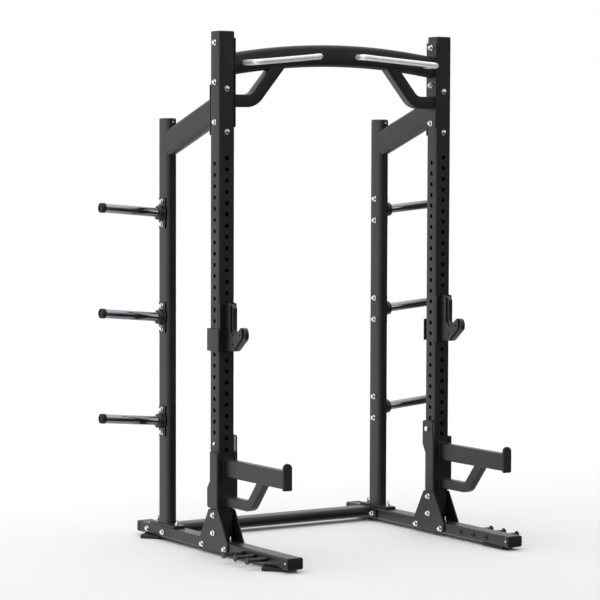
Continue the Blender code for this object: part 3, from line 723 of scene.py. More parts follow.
def build_weld_bead() -> Any:
    """Build the tree that lays a rippled bead along a closed line of edges.

    Returns:
        The tree, whose last input is the finish.
    """
    sockets = (
        ("Radius", "NodeSocketFloat", 0.003),
        ("Ripple", "NodeSocketFloat", 0.0045),
        ("Finish", "NodeSocketMaterial", None),
    )
    tree, entry = tree_with("weld_bead", sockets)
    line = add_node(tree, "GeometryNodeMeshToCurve", {"Mesh": entry.outputs["Geometry"]})
    quarter = add_node(tree, "ShaderNodeMath", {0: entry.outputs["Ripple"], 1: 0.25}, operation="MULTIPLY")
    even = add_node(tree, "GeometryNodeResampleCurve", {"Curve": line.outputs[0]})
    if "Mode" in even.inputs:
        even.inputs["Mode"].default_value = "Length"
    else:
        even.mode = "LENGTH"
    tree.links.new(quarter.outputs[0], even.inputs["Length"])
    index = add_node(tree, "GeometryNodeInputIndex")
    phase = add_node(tree, "ShaderNodeMath", {0: index.outputs[0], 1: math.pi / 2}, operation="MULTIPLY")
    wave = add_node(tree, "ShaderNodeMath", {0: phase.outputs[0]}, operation="SINE")
    swell = add_node(tree, "ShaderNodeMath", {0: wave.outputs[0], 1: 0.16, 2: 1.0}, operation="MULTIPLY_ADD")
    profile_inputs = {"Resolution": 8, "Radius": entry.outputs["Radius"]}
    profile = add_node(tree, "GeometryNodeCurvePrimitiveCircle", profile_inputs)
    bead = add_node(tree, "GeometryNodeCurveToMesh", {"Profile Curve": profile.outputs["Curve"]})
    if "Scale" in bead.inputs:
        tree.links.new(swell.outputs[0], bead.inputs["Scale"])
        tree.links.new(even.outputs[0], bead.inputs["Curve"])
    else:
        sized_inputs = {"Curve": even.outputs[0], "Radius": swell.outputs[0]}
        sized = add_node(tree, "GeometryNodeSetCurveRadius", sized_inputs)
        tree.links.new(sized.outputs[0], bead.inputs["Curve"])
    smooth = add_node(tree, "GeometryNodeSetShadeSmooth", {0: bead.outputs[0]})
    return close_tree(tree, smooth.outputs[0], entry.outputs["Finish"])


def build_knurl() -> Any:
    """Build the tree that presses a knurl into the points marked as its valleys.

    Returns:
        The tree, whose last input is the finish.
    """
    sockets = (("Depth", "NodeSocketFloat", 0.0005), ("Finish", "NodeSocketMaterial", None))
    tree, entry = tree_with("knurl", sockets)
    valley = add_node(tree, "GeometryNodeInputNamedAttribute", {"Name": "valley"}, data_type="FLOAT")
    normal = add_node(tree, "GeometryNodeInputNormal")
    press_inputs = {0: valley.outputs[0], 1: entry.outputs["Depth"]}
    press = add_node(tree, "ShaderNodeMath", press_inputs, operation="MULTIPLY")
    sink = add_node(tree, "ShaderNodeMath", {0: press.outputs[0], 1: -1.0}, operation="MULTIPLY")
    offset = add_node(
        tree, "ShaderNodeVectorMath", {0: normal.outputs[0], "Scale": sink.outputs[0]}, operation="SCALE"
    )
    pressed_inputs = {"Geometry": entry.outputs["Geometry"], "Offset": offset.outputs[0]}
    pressed = add_node(tree, "GeometryNodeSetPosition", pressed_inputs)
    return close_tree(tree, pressed.outputs[0], entry.outputs["Finish"])


# ---- fasteners -------------------------------------------------------------------------------
THREAD_PITCH = 0.0015


def hexagon(across: float, height: float, chamfer: float = 0.0, samples: int = 36) -> Ring:
    """Return a ring on a hexagon, its corners dropped as a cone would cut them.

    Args:
        across: The width across flats.
        height: The height of the flats.
        chamfer: How far the corners drop.
        samples: The number of points.

    Returns:
        The ring's points.
    """
    ring = []
    for index in range(samples):
        angle = math.tau * index / samples
        within = (angle + math.pi / 6) % (math.pi / 3) - math.pi / 6
        radius = across / 2 / math.cos(within)
        drop = chamfer * (radius - across / 2) / (across / 2 * (1 / math.cos(math.pi / 6) - 1))
        ring.append(Vector((radius * math.cos(angle), radius * math.sin(angle), height - drop)))
    return ring


def flat_ring(radius: float, height: float, samples: int = 36) -> Ring:
    """Return a level circular ring."""
    return [Vector((u, v, height)) for u, v in circle(radius, samples)]


@dataclass(frozen=True)
class FastenerKind:
    """One kind of fastener, standing on z = 0 and pointing along +Z.

    Attributes:
        washer: The washer's diameter and thickness, or zeros.
        across: The head's width across flats.
        height: The head's height.
        shank: The diameter and length of a threaded end beyond a nut, or zeros.
    """

    washer: tuple[float, float]
    across: float
    height: float
    shank: tuple[float, float] = (0.0, 0.0)

    def build(self) -> bmesh.types.BMesh:
        """Make the fastener's washer, head and threaded end.

        Returns:
            A bmesh of the shape.
        """
        radius, thick = self.washer[0] / 2, self.washer[1]
        parts = []
        if thick:
            edges = ((-0.0004, 0), (0, 0.0004), (0, thick - 0.0005), (-0.0006, thick))
            parts.append(skin([flat_ring(radius + inset, height) for inset, height in edges]))
        top = thick + self.height
        chamfer = self.height * 0.24
        rings = [hexagon(self.across, thick), hexagon(self.across, top, chamfer)]
        parts.append(skin(rings + [flat_ring(self.across / 2 * 0.93, top)]))
        if self.shank[1]:
            bolt, length = self.shank[0] / 2, self.shank[1]
            profile = [(top - 0.001, bolt)]
            threads = int(length / THREAD_PITCH)
            for index in range(threads):
                run = top + index * length / threads
                profile += [(run, bolt * 0.86), (run + length / threads / 2, bolt)]
            profile += [(top + length, bolt * 0.8)]
            parts.append(skin([flat_ring(size, run, 24) for run, size in profile]))
        return joined(*parts)


@dataclass(frozen=True)
class ScrewKind:
    """A button-head screw with a hexagon socket.

    Attributes:
        radius: The head's radius.
        height: The head's height.
        socket: The socket's width across flats.
    """

    radius: float
    height: float
    socket: float

    def build(self) -> bmesh.types.BMesh:
        """Make the domed head with its socket.

        Returns:
            A bmesh of the shape.
        """
        rings = [flat_ring(self.radius, 0)]
        for step in range(1, 6):
            angle = math.pi / 2 * step / 6
            rim = self.radius * math.cos(angle * 0.72)
            rings.append(flat_ring(rim, self.height * math.sin(angle) ** 0.8))
        rings.append(flat_ring(self.socket / 2 * 1.25, self.height))
        rings.append(hexagon(self.socket, self.height))
        rings.append(hexagon(self.socket, self.height * 0.35))
        return skin(rings)


class Fastener(Enum):
    """The fasteners that hold the rack together."""

    BOLT = FastenerKind((0.0260, 0.0024), 0.0180, 0.0080)
    NUT = FastenerKind((0.0260, 0.0024), 0.0180, 0.0095, (0.011, 0.0050))
    STUD = FastenerKind((0.0160, 0.0018), 0.0120, 0.0085, (0.008, 0.0120))
    FLANGE_NUT = FastenerKind((0.0260, 0.0024), 0.0180, 0.0100, (0.011, 0.0140))
    SCREW = ScrewKind(0.0048, 0.0026, 0.0030)
    PLUG = ScrewKind(0.0135, 0.0060, 0.0080)


@dataclass
class FastenerRow:
    """The fasteners of one kind on one body, set along their outward directions."""

    name: str
    kind: Fastener
    finish: Finish
    body: str = RACK
    points: list[tuple[Vector, Vector]] = field(default_factory=list)

    def add(self, point: Sequence[float], outward: Vector) -> None:
        """Note one more fastener."""
        self.points.append((Vector(point), outward))

    def build(self, shop: Workshop) -> None:
        """Make the row's piece.

        Args:
            shop: The workshop that makes the pieces.
        """
        work = bmesh.new()
        for point, _ in self.points:
            work.verts.new(point)
        piece = shop.host(self.name, work)
        outward = piece.data.attributes.new("outward", "FLOAT_VECTOR", "POINT")
        for index, (_, direction) in enumerate(self.points):
            outward.data[index].vector = direction
        head = shop.host("head", self.kind.value.build())
        head.data.shade_smooth()
        head.data.set_sharp_from_angle(angle=math.radians(28))
        shop.run_tree(piece, shop.row_tree, {"Head": head, "Finish": shop.finishes[self.finish]})
        bpy.data.objects.remove(head, do_unlink=True)
        shop.dress(piece, self.finish, self.body)


# ---- sections and planes -----------------------------------------------------------------------
@dataclass(frozen=True)
class Tube:
    """The section of a rounded steel tube: its outer size, corner and wall."""

    width: float
    height: float
    corner: float
    wall: float

    def outer(self, u: float = 0.0, v: float = 0.0, grow: float = 0.0) -> Outline:
        """Return the outer outline about a point, grown all round where asked."""
        size = (self.width + 2 * grow, self.height + 2 * grow)
        return shifted(rounded_rectangle(*size, self.corner + grow), u, v)

    def bore(self, u: float = 0.0, v: float = 0.0) -> Outline:
        """Return the inner outline about a point."""
        return self.outer(u, v, -self.wall)

    def upended(self) -> "Tube":
        """Return the same section with its width and height exchanged."""
        return Tube(self.height, self.width, self.corner, self.wall)


def shifted(outline: Iterable[Sequence[float]], du: float, dv: float) -> Outline:
    """Move an outline in its plane."""
    return [(u + du, v + dv) for u, v in outline]


def flipped(outline: Outline, side: Side) -> Outline:
    """Mirror an outline's first axis for the left half."""
    return [(side.value * u, v) for u, v in outline]


def plan(z: float) -> Axes:
    """Return the level plane at a height: outlines in (x, y), extruded up."""
    return Axes(Vector((0, 0, z)), X_AXIS, Y_AXIS)


def profile_plane(x: float) -> Axes:
    """Return the fore-and-aft plane at x: outlines in (y, z), extruded towards +X."""
    return Axes(Vector((x, 0, 0)), Y_AXIS, Z_AXIS)


def front_plane(y: float) -> Axes:
    """Return the crosswise plane at y: outlines in (x, z), extruded towards -Y."""
    return Axes(Vector((0, y, 0)), X_AXIS, Z_AXIS)


def aimed(origin: Sequence[float], direction: Vector) -> Axes:
    """Return the plane at a point whose normal is a crosswise direction, its u axis near Y.

    Args:
        origin: The point.
        direction: The plane's normal.

    Returns:
        The plane.
    """
    normal = direction.normalized()
    u = (Y_AXIS - normal * Y_AXIS.dot(normal)).normalized()
    return Axes(Vector(origin), u, normal.cross(u))


def crosswise(outline: Outline, start: float, end: float, bore: Outline | None = None) -> bmesh.types.BMesh:
    """Extrude a (y, z) outline between two values of x."""
    return prism(profile_plane(min(start, end)), outline, abs(end - start), bore)


SQUARE_TUBE = Tube(0.080, 0.080, 0.009, 0.003)
RAIL_TUBE = Tube(0.080, 0.050, 0.008, 0.003)
OVAL_TUBE = Tube(0.050, 0.100, 0.021, 0.0025)
LEVEL_OVAL_TUBE = Tube(0.100, 0.050, 0.021, 0.0025)
BRACE_TUBE = Tube(0.050, 0.130, 0.022, 0.0025)
BEAM_TUBE = Tube(0.050, 0.099, 0.020, 0.0025)

# The dome's stations: the share of the cap's height, and the inset from the tube's side.
DOME = ((0, 0.0006), (0.06, 0), (0.42, 0), (0.62, 0.0012), (0.78, 0.004), (0.92, 0.009), (1, 0.015))
SHARPEST_DOME_CORNER = 0.003


def domed_cap(tube: Tube, span: Span) -> bmesh.types.BMesh:
    """Make a low domed plug that covers a tube's end, its skirt as wide as the tube.

    Args:
        tube: The tube's section.
        span: The cap's box.

    Returns:
        A bmesh of the shape.
    """
    rings = []
    middle = span.center
    for lift, inset in DOME:
        size = (tube.width - 2 * inset, tube.height - 2 * inset)
        corner = max(tube.corner - inset * 0.5, SHARPEST_DOME_CORNER)
        outline = shifted(rounded_rectangle(*size, corner), middle.x, middle.y)
        rings.append(plan(span.low.z + span.size.z * lift).ring(outline))
    return skin(rings)


# ---- base --------------------------------------------------------------------------------------
@dataclass
class BaseRail:
    """A base rail: a hollow tube on the floor, its two end caps and its rubber feet."""

    side: Side
    cap_round: float = 0.004
    cap_corner: float = 0.0085
    foot_length: float = 0.157
    foot_inner: float = 0.039
    foot_shoulder: float = 0.016
    foot_wing: float = 0.095
    foot_tip: float = 0.082
    foot_heel: float = 0.146

    def build(self, shop: Workshop) -> None:
        """Make the rail's pieces.

        Args:
            shop: The workshop that makes the pieces.
        """
        name = self.side.label + "_base_rail"
        span = Span.of(name)
        middle = (span.center.x, span.center.z)
        tube = prism(front_plane(span.high.y), RAIL_TUBE.outer(*middle), span.size.y, RAIL_TUBE.bore(*middle))
        shop.make(name + "_tube", tube, Finish.POWDER, stands_for=[name])
        for place, sign in (("front", -1), ("rear", 1)):
            self.build_cap(shop, place, sign)
            self.build_foot(shop, place, sign)

    def build_cap(self, shop: Workshop, place: str, sign: int) -> None:
        """Make the cap over one end, rounded towards its face.

        Args:
            shop: The workshop that makes the pieces.
            place: Front or rear, as the frame's nodes say.
            sign: -1 for the front end, 1 for the rear.
        """
        name = f"{self.side.label}_{place}_rail_cap"
        span = Span.of(name)
        near, far = (span.low.y, span.high.y) if sign > 0 else (span.high.y, span.low.y)
        stations = [(near, 0.0006), (near + sign * 0.0006, 0.0)]
        for step in range(7):
            angle = math.pi / 2 * step / 6
            inset = self.cap_round * (1 - math.cos(angle))
            stations.append((far - sign * self.cap_round * (1 - math.sin(angle)), inset))
        rings = []
        for y, inset in stations:
            size = (span.size.x - 2 * inset, span.size.z - 2 * inset)
            outline = rounded_rectangle(*size, self.cap_corner - inset * 0.4)
            rings.append(front_plane(y).ring(shifted(outline, span.center.x, span.center.z)))
        shop.make(name + "_moulding", skin(rings), Finish.PLASTIC, 0.0003, stands_for=[name])

    def build_foot(self, shop: Workshop, place: str, sign: int) -> None:
        """Make the rubber pad under one end, with its outrigger wing.

        Args:
            shop: The workshop that makes the pieces.
            place: Front or rear, as the frame's nodes say.
            sign: -1 for the front end, 1 for the rear.
        """
        name = f"{self.side.label}_{place}_foot"
        span = Span.of(name)
        edge = sign * (span.low.y if sign < 0 else span.high.y)
        corners = (
            (-self.foot_inner, sign * edge),
            (self.foot_shoulder, sign * edge),
            (self.foot_wing, sign * (edge - self.foot_tip)),
            (RAIL_TUBE.width / 2, sign * (edge - self.foot_heel)),
            (RAIL_TUBE.width / 2, sign * (edge - self.foot_length)),
            (-self.foot_inner, sign * (edge - self.foot_length)),
        )
        outline = rounded_polygon(corners, (0.006, 0.008, 0.008, 0.010, 0.004, 0.006), 5)
        rail_x = Span.of(self.side.label + "_base_rail").center.x
        pad = prism(plan(span.low.z), shifted(flipped(outline, self.side), rail_x, 0), span.size.z)
        shop.make(name + "_pad", pad, Finish.RUBBER, 0.0024, stands_for=[name])


@dataclass
class Gussets:
    """The two flat plates that bolt an upright to its rail."""

    side: Side
    shoulder: float = 0.058
    half_top: float = 0.040

    def build(self, shop: Workshop) -> None:
        """Make both plates.

        Args:
            shop: The workshop that makes the pieces.
        """
        for place in ("outer", "inner"):
            name = f"{self.side.label}_{place}_gusset"
            span = Span.of(name)
            y = span.center.y
            corners = (
                (y - self.half_top, span.high.z),
                (span.low.y, self.shoulder),
                (span.low.y, span.low.z),
                (span.high.y, span.low.z),
                (span.high.y, self.shoulder),
                (y + self.half_top, span.high.z),
            )
            outline = rounded_polygon(corners, (0.012, 0.014, 0.016, 0.016, 0.014, 0.012))
            plate = crosswise(outline, span.low.x, span.high.x)
            shop.make(name + "_plate", plate, Finish.POWDER, stands_for=[name])


@dataclass
class CrossMember:
    """The rear floor tube, welded to a bolting flange at each end."""

    flange_thickness: float = 0.008
    flange_corner: float = 0.008

    def build(self, shop: Workshop) -> None:
        """Make the tube, its flanges and their weld beads.

        Args:
            shop: The workshop that makes the pieces.
        """
        span = Span.of("rear_cross_member")
        middle = (span.center.y, span.center.z)
        inner = span.high.x - self.flange_thickness
        tube = crosswise(LEVEL_OVAL_TUBE.outer(*middle), -inner, inner, LEVEL_OVAL_TUBE.bore(*middle))
        plate = shifted(rounded_rectangle(span.size.y, span.size.z, self.flange_corner), *middle)
        flanges = [crosswise(plate, sign * inner, sign * span.high.x) for sign in (-1, 1)]
        weldment = joined(tube, *flanges)
        shop.make("rear_cross_weldment", weldment, Finish.POWDER, stands_for=["rear_cross_member"])
        for sign in (-1, 1):
            shop.bead(profile_plane(sign * inner).ring(LEVEL_OVAL_TUBE.outer(*middle, PROUD)))
        shop.gather_beads("rear_cross_beads")


@dataclass
class BandPegs:
    """The headed pegs along one rail that hold resistance bands."""

    side: Side
    count: int = 3
    rod_radius: float = 0.0095
    head_length: float = 0.006

    def build(self, shop: Workshop) -> None:
        """Make the pegs, each turned in one with its head.

        Args:
            shop: The workshop that makes the pieces.
        """
        outward = X_AXIS * self.side.value
        for index in range(1, self.count + 1):
            name = f"{self.side.label}_band_peg_{index}"
            span = Span.of(name)
            root_x = span.low.x if self.side is Side.RIGHT else span.high.x
            neck = span.size.x - self.head_length
            head = span.size.z / 2
            rod = self.rod_radius
            profile = ((0, rod), (neck, rod), (neck, head), (span.size.x, head))
            peg = turned(aimed((root_x, span.center.y, span.center.z), outward), profile)
            shop.make(name + "_turning", peg, Finish.POWDER, 0.0012, stands_for=[name])


# ---- uprights and braces -----------------------------------------------------------------------
@dataclass
class Upright:
    """A front upright: a square tube with a ladder of holes in its sides and one in its front."""

    side: Side
    hole_radius: float = 0.0100
    side_start: float = 1.750
    side_depth: float = 0.1
    front_start: float = 1.775
    front_depth: float = 0.06

    def build(self, shop: Workshop) -> None:
        """Make the tube, drill its ladders and cap it.

        Args:
            shop: The workshop that makes the pieces.
        """
        name = self.side.label + "_upright"
        span = Span.of(name)
        middle = span.center
        outline, bore = SQUARE_TUBE.outer(middle.x, middle.y), SQUARE_TUBE.bore(middle.x, middle.y)
        piece = shop.host(name + "_tube", prism(plan(span.low.z), outline, span.size.z, bore))
        coat = shop.finishes[Finish.POWDER]
        ladders = (
            ((middle.x, middle.y, self.side_start), (0.0, math.pi / 2, 0.0), self.side_depth),
            ((middle.x, span.low.y, self.front_start), (math.pi / 2, 0.0, 0.0), self.front_depth),
        )
        for start, turn, depth in ladders:
            inputs = {"Start": start, "Turn": turn, "Radius": self.hole_radius, "Depth": depth}
            shop.run_tree(piece, shop.ladder_tree, inputs | {"Finish": coat})
        shop.ease(piece, 0.0006)
        shop.dress(piece, Finish.POWDER, stands_for=[name])
        cap = name + "_cap"
        dome = domed_cap(SQUARE_TUBE, Span.of(cap))
        shop.make(cap + "_dome", dome, Finish.PLASTIC, 0.0003, stands_for=[cap])


@dataclass
class RearUpright:
    """A rear upright: an oval tube welded to a foot flange, and its cap."""

    side: Side
    flange_thickness: float = 0.012
    flange_corner: float = 0.008
    bead_radius: float = 0.0032

    def build(self, shop: Workshop) -> None:
        """Make the tube with its flange, its weld bead and its cap.

        Args:
            shop: The workshop that makes the pieces.
        """
        name = self.side.label + "_rear_upright"
        span = Span.of(name)
        middle = (span.center.x, span.center.y)
        base = span.low.z + self.flange_thickness
        height = span.high.z - base
        tube = prism(plan(base), OVAL_TUBE.outer(*middle), height, OVAL_TUBE.bore(*middle))
        plate = shifted(rounded_rectangle(span.size.x, span.size.y, self.flange_corner), *middle)
        flange = prism(plan(span.low.z), plate, self.flange_thickness)
        shop.make(name + "_weldment", joined(tube, flange), Finish.POWDER, stands_for=[name])
        shop.bead(plan(base).ring(OVAL_TUBE.outer(*middle, PROUD)), self.bead_radius)
        shop.gather_beads(name + "_bead")
        cap = name + "_cap"
        dome = domed_cap(OVAL_TUBE, Span.of(cap))
        shop.make(cap + "_dome", dome, Finish.PLASTIC, 0.0003, stands_for=[cap])


@dataclass
class TopBrace:
    """The oval tube that slopes from an upright's bolted plate down to the rear upright."""

    side: Side
    plate_thickness: float = 0.006
    plate_height: float = 0.226
    plate_corner: float = 0.006
    start_z: float = 1.989
    end_z: float = 1.830
    cope_reach: float = 0.3

    def build(self, shop: Workshop) -> None:
        """Make the tube, coped round the rear upright, with its plate and beads.

        Args:
            shop: The workshop that makes the pieces.
        """
        name = self.side.label + "_top_brace"
        span = Span.of(name)
        rear = Span.of(self.side.label + "_rear_upright")
        x = span.center.x
        face = span.low.y + self.plate_thickness
        stations = ((face, self.start_z), (rear.center.y, self.end_z))
        shells = [
            [front_plane(y).ring([(u + x, v + z) for u, v in outline]) for y, z in stations]
            for outline in (BRACE_TUBE.outer(), BRACE_TUBE.bore())
        ]
        piece = shop.host(name + "_weldment", skin(*shells))
        around = OVAL_TUBE.outer(x, rear.center.y, GAP)
        cope = prism(plan(self.end_z - self.cope_reach), around, 2 * self.cope_reach)
        shop.combine(piece, "DIFFERENCE", cope)
        plate = shifted(rounded_rectangle(span.size.x, self.plate_height, self.plate_corner), x, self.start_z)
        whole = bmesh.new()
        whole.from_mesh(piece.data)
        whole = joined(whole, prism(front_plane(face), plate, self.plate_thickness))
        whole.to_mesh(piece.data)
        whole.free()
        shop.ease(piece, 0.0008)
        shop.dress(piece, Finish.POWDER, stands_for=[name])
        shop.bead(front_plane(face).ring(BRACE_TUBE.outer(x, self.start_z, PROUD)))
        shop.gather_beads(name + "_bead")


# ---- pull-up beam ------------------------------------------------------------------------------
@dataclass
class PullUpBeam:
    """The arched beam between the uprights, with its end plates, curved arms and chrome handles."""

    mid_z: float = 2.237
    arch_radius: float = 3.36
    steps: int = 48
    plate_corner: float = 0.006
    arm: Tube = Tube(0.057, 0.050, 0.005, 0.0025)
    arm_z: float = 2.0295
    arm_bend: float = 0.1035
    arm_angle: float = math.radians(50)
    arm_bend_radius: float = 0.075
    arm_run: float = 0.240
    cope_overrun: float = 0.02
    handle_radius: float = 0.013
    handle_sides: int = 24
    grip_margin: float = 0.04
    # Each leg's x, and how far its bend stands in front of the uprights.
    handle_outer: tuple[float, float] = (0.491, 0.091)
    handle_inner: tuple[float, float] = (0.114, 0.034)
    handle_drop: float = 0.002
    handle_bend: float = 0.022
    knurl_pitch: float = 0.0034
    knurl_depth: float = 0.0012

    def height(self, x: float) -> float:
        """Return the height of the arch's centre line at x."""
        return self.mid_z - x * x / (2 * self.arch_radius)

    def rings(self, outline: Outline, half: float, y: float) -> list[Ring]:
        """Return the beam's sections from end to end, for an outline of (y, z).

        Args:
            outline: The section.
            half: Half of the beam's length.
            y: The beam's centre line.

        Returns:
            The rings, from -x to +x.
        """
        rings = []
        for step in range(self.steps + 1):
            x = half * (2 * step / self.steps - 1)
            rings.append(profile_plane(x).ring(shifted(outline, y, self.height(x))))
        return rings

    def build(self, shop: Workshop) -> None:
        """Make the beam and what is welded to it.

        Args:
            shop: The workshop that makes the pieces.
        """
        span = Span.of("pull_up_beam")
        y, half = span.center.y, span.high.x
        beam = skin(self.rings(BEAM_TUBE.outer(), half, y), self.rings(BEAM_TUBE.bore(), half, y))
        shop.make("pull_up_beam_tube", beam, Finish.POWDER, stands_for=["pull_up_beam"])
        for side in Side:
            self.build_plate(shop, side)
            self.build_arm(shop, side, half, y)
            self.build_handle(shop, side, span.low.y)
            foot = BEAM_TUBE.outer(y, self.height(half), PROUD)
            shop.bead(profile_plane(side.value * half).ring(foot))
        shop.gather_beads("pull_up_beam_beads")

    def build_plate(self, shop: Workshop, side: Side) -> None:
        """Make the plate that bolts one end to its upright.

        Args:
            shop: The workshop that makes the pieces.
            side: The end that it bolts.
        """
        name = side.label + "_beam_plate"
        span = Span.of(name)
        outline = rounded_rectangle(span.size.y, span.size.z, self.plate_corner)
        plate = crosswise(shifted(outline, span.center.y, span.center.z), span.low.x, span.high.x)
        shop.make(name + "_blank", plate, Finish.POWDER, stands_for=[name])

    def build_arm(self, shop: Workshop, side: Side, half: float, y: float) -> None:
        """Make the bent arm that props the beam from its end plate.

        Args:
            shop: The workshop that makes the pieces.
            side: The end that it props.
            half: Half of the beam's length.
            y: The beam's centre line.
        """
        name = side.label + "_beam_arm"
        sign = side.value
        start = Vector((sign * half, y, self.arm_z))
        corner = start - X_AXIS * sign * self.arm_bend
        rising = Vector((-sign * math.cos(self.arm_angle), 0, math.sin(self.arm_angle)))
        path = rounded_path([start, corner, corner + rising * self.arm_run], self.arm_bend_radius, 14)
        piece = shop.host(name + "_tube", skin(swept(self.arm.outer(), path, Y_AXIS)))
        cope = skin(self.rings(BEAM_TUBE.outer(grow=GAP), half + self.cope_overrun, y))
        shop.combine(piece, "DIFFERENCE", cope)
        shop.ease(piece, 0.0008)
        shop.dress(piece, Finish.POWDER, stands_for=[name])
        shop.bead(profile_plane(sign * half).ring(self.arm.upended().outer(y, self.arm_z, PROUD)))

    def build_handle(self, shop: Workshop, side: Side, front: float) -> None:
        """Make one handle: a bent round bar, knurled along its straight grip.

        Args:
            shop: The workshop that makes the pieces.
            side: The half that it is on.
            front: The beam's front face.
        """
        name = side.label + "_pull_up_handle"
        upright_front = Span.of(side.label + "_upright").low.y
        corners = []
        for x, reach in (self.handle_outer, self.handle_inner):
            z = self.height(x) - self.handle_drop
            leg = [Vector((side.value * x, front, z)), Vector((side.value * x, upright_front - reach, z))]
            corners += leg if x == self.handle_outer[0] else leg[::-1]
        path = evenly(rounded_path(corners, self.handle_bend, 12), self.knurl_pitch)
        sides = self.handle_sides
        piece = shop.host(name + "_bar", skin(swept(circle(self.handle_radius, sides), path, Z_AXIS)))
        piece.data.shade_smooth()
        grip = (self.handle_inner[0] + self.grip_margin, self.handle_outer[0] - self.grip_margin)
        valley = piece.data.attributes.new("valley", "FLOAT", "POINT")
        for index in range(len(path) * sides):
            ring, step = divmod(index, sides)
            held = grip[0] < abs(path[ring].x) < grip[1]
            valley.data[index].value = float(held and (ring + step) % 2)
        inputs = {"Depth": self.knurl_depth, "Finish": shop.finishes[Finish.KNURLED]}
        shop.run_tree(piece, shop.knurl_tree, inputs)
        shop.dress(piece, Finish.KNURLED, stands_for=[name])


# ---- plate horns -------------------------------------------------------------------------------
# The horns of one rear upright: each one's level and the height of its root.
HORN_LEVELS = (("upper", 1.518), ("middle", 1.037), ("lower", 0.556))


@dataclass
class PlateHorn:
    """A weight-plate horn: a bolted plate, a welded collar, a chromed tube and a rubber end cap."""

    side: Side
    level: str
    root_z: float
    tilt: float = math.radians(5)
    # The plate's width, height, thickness and corner.
    plate: tuple[float, float, float, float] = (0.056, 0.143, 0.006, 0.006)
    # The collar's radius and reach, and its profile in shares of them.
    collar: tuple[float, float] = (0.034, 0.026)
    collar_shares: tuple[tuple[float, float], ...] = ((0.72, 1), (0.92, 0.965), (1, 0.88))
    collar_root: tuple[float, float] = (-0.004, 0.97)
    socket_share: float = 0.8
    socket_gap: float = 0.0006
    end_lead: float = 0.0008
    sides: int = 64
    bead_radius: float = 0.0026
    tube_radius: float = 0.0212
    bore_radius: float = 0.0182
    length: float = 0.300
    # The cap's radius and depth.
    cap: tuple[float, float] = (0.02275, 0.0225)

    def build(self, shop: Workshop) -> None:
        """Make the horn's pieces.

        Args:
            shop: The workshop that makes the pieces.
        """
        name = f"{self.side.label}_{self.level}_horn"
        span = Span.of(name)
        sign = self.side.value
        inner = span.low.x if sign > 0 else span.high.x
        width, height, thickness, corner = self.plate
        outer = inner + sign * thickness
        y = span.center.y
        outline = shifted(rounded_rectangle(width, height, corner), y, self.root_z)
        root = Vector((outer, y, self.root_z))
        axis = Vector((sign * math.cos(self.tilt), 0, math.sin(self.tilt)))
        axes = aimed(root, axis)
        radius, reach = self.collar
        profile = [(self.collar_root[0], radius * self.collar_root[1])]
        profile += [(reach * run, radius * size) for run, size in self.collar_shares]
        profile += [(reach, self.tube_radius - self.socket_gap)]
        mount = joined(crosswise(outline, inner, outer), turned(axes, profile, self.sides))
        shop.make(name + "_mount", mount, Finish.POWDER)
        root_run, lead = reach * self.socket_share, self.end_lead
        rings = [(root_run, self.tube_radius), (self.length - lead, self.tube_radius)]
        rings += [(self.length, self.tube_radius - lead)]
        bore = [(root_run, self.bore_radius), (self.length, self.bore_radius)]
        shells = [
            [axes.ring(circle(size, self.sides), run) for run, size in shell] for shell in (rings, bore)
        ]
        shop.make(name + "_tube", skin(*shells), Finish.CHROME, 0.0004, stands_for=[name])
        self.build_cap(shop, name + "_cap", axes)
        lean = math.cos(self.tilt)
        foot = [root + Vector((0, radius * u, radius * v / lean)) for u, v in circle(1.0, self.sides)]
        shop.bead(foot, self.bead_radius)
        shop.gather_beads(name + "_bead")

    def build_cap(self, shop: Workshop, name: str, axes: Axes) -> None:
        """Make the end cap: a rounded rim round a shallow recess.

        Args:
            shop: The workshop that makes the pieces.
            name: The cap's node.
            axes: The horn's plane at its root.
        """
        radius, depth = self.cap
        start = self.length + GAP
        rim = ((-0.0035, 0), (-0.0018, -0.0005), (-0.0006, -0.0016), (0, -0.0034), (0, -0.0062))
        recess = ((-0.0008, -0.0072), (-0.0040, -0.0076))
        outline = [(0, -0.0008), (0.0008, 0), *((depth + run, change) for run, change in rim + recess)]
        profile = [(start + run, radius + change) for run, change in outline]
        cap = turned(axes, profile, self.sides)
        shop.make(name + "_moulding", cap, Finish.RUBBER, 0.0002, stands_for=[name])


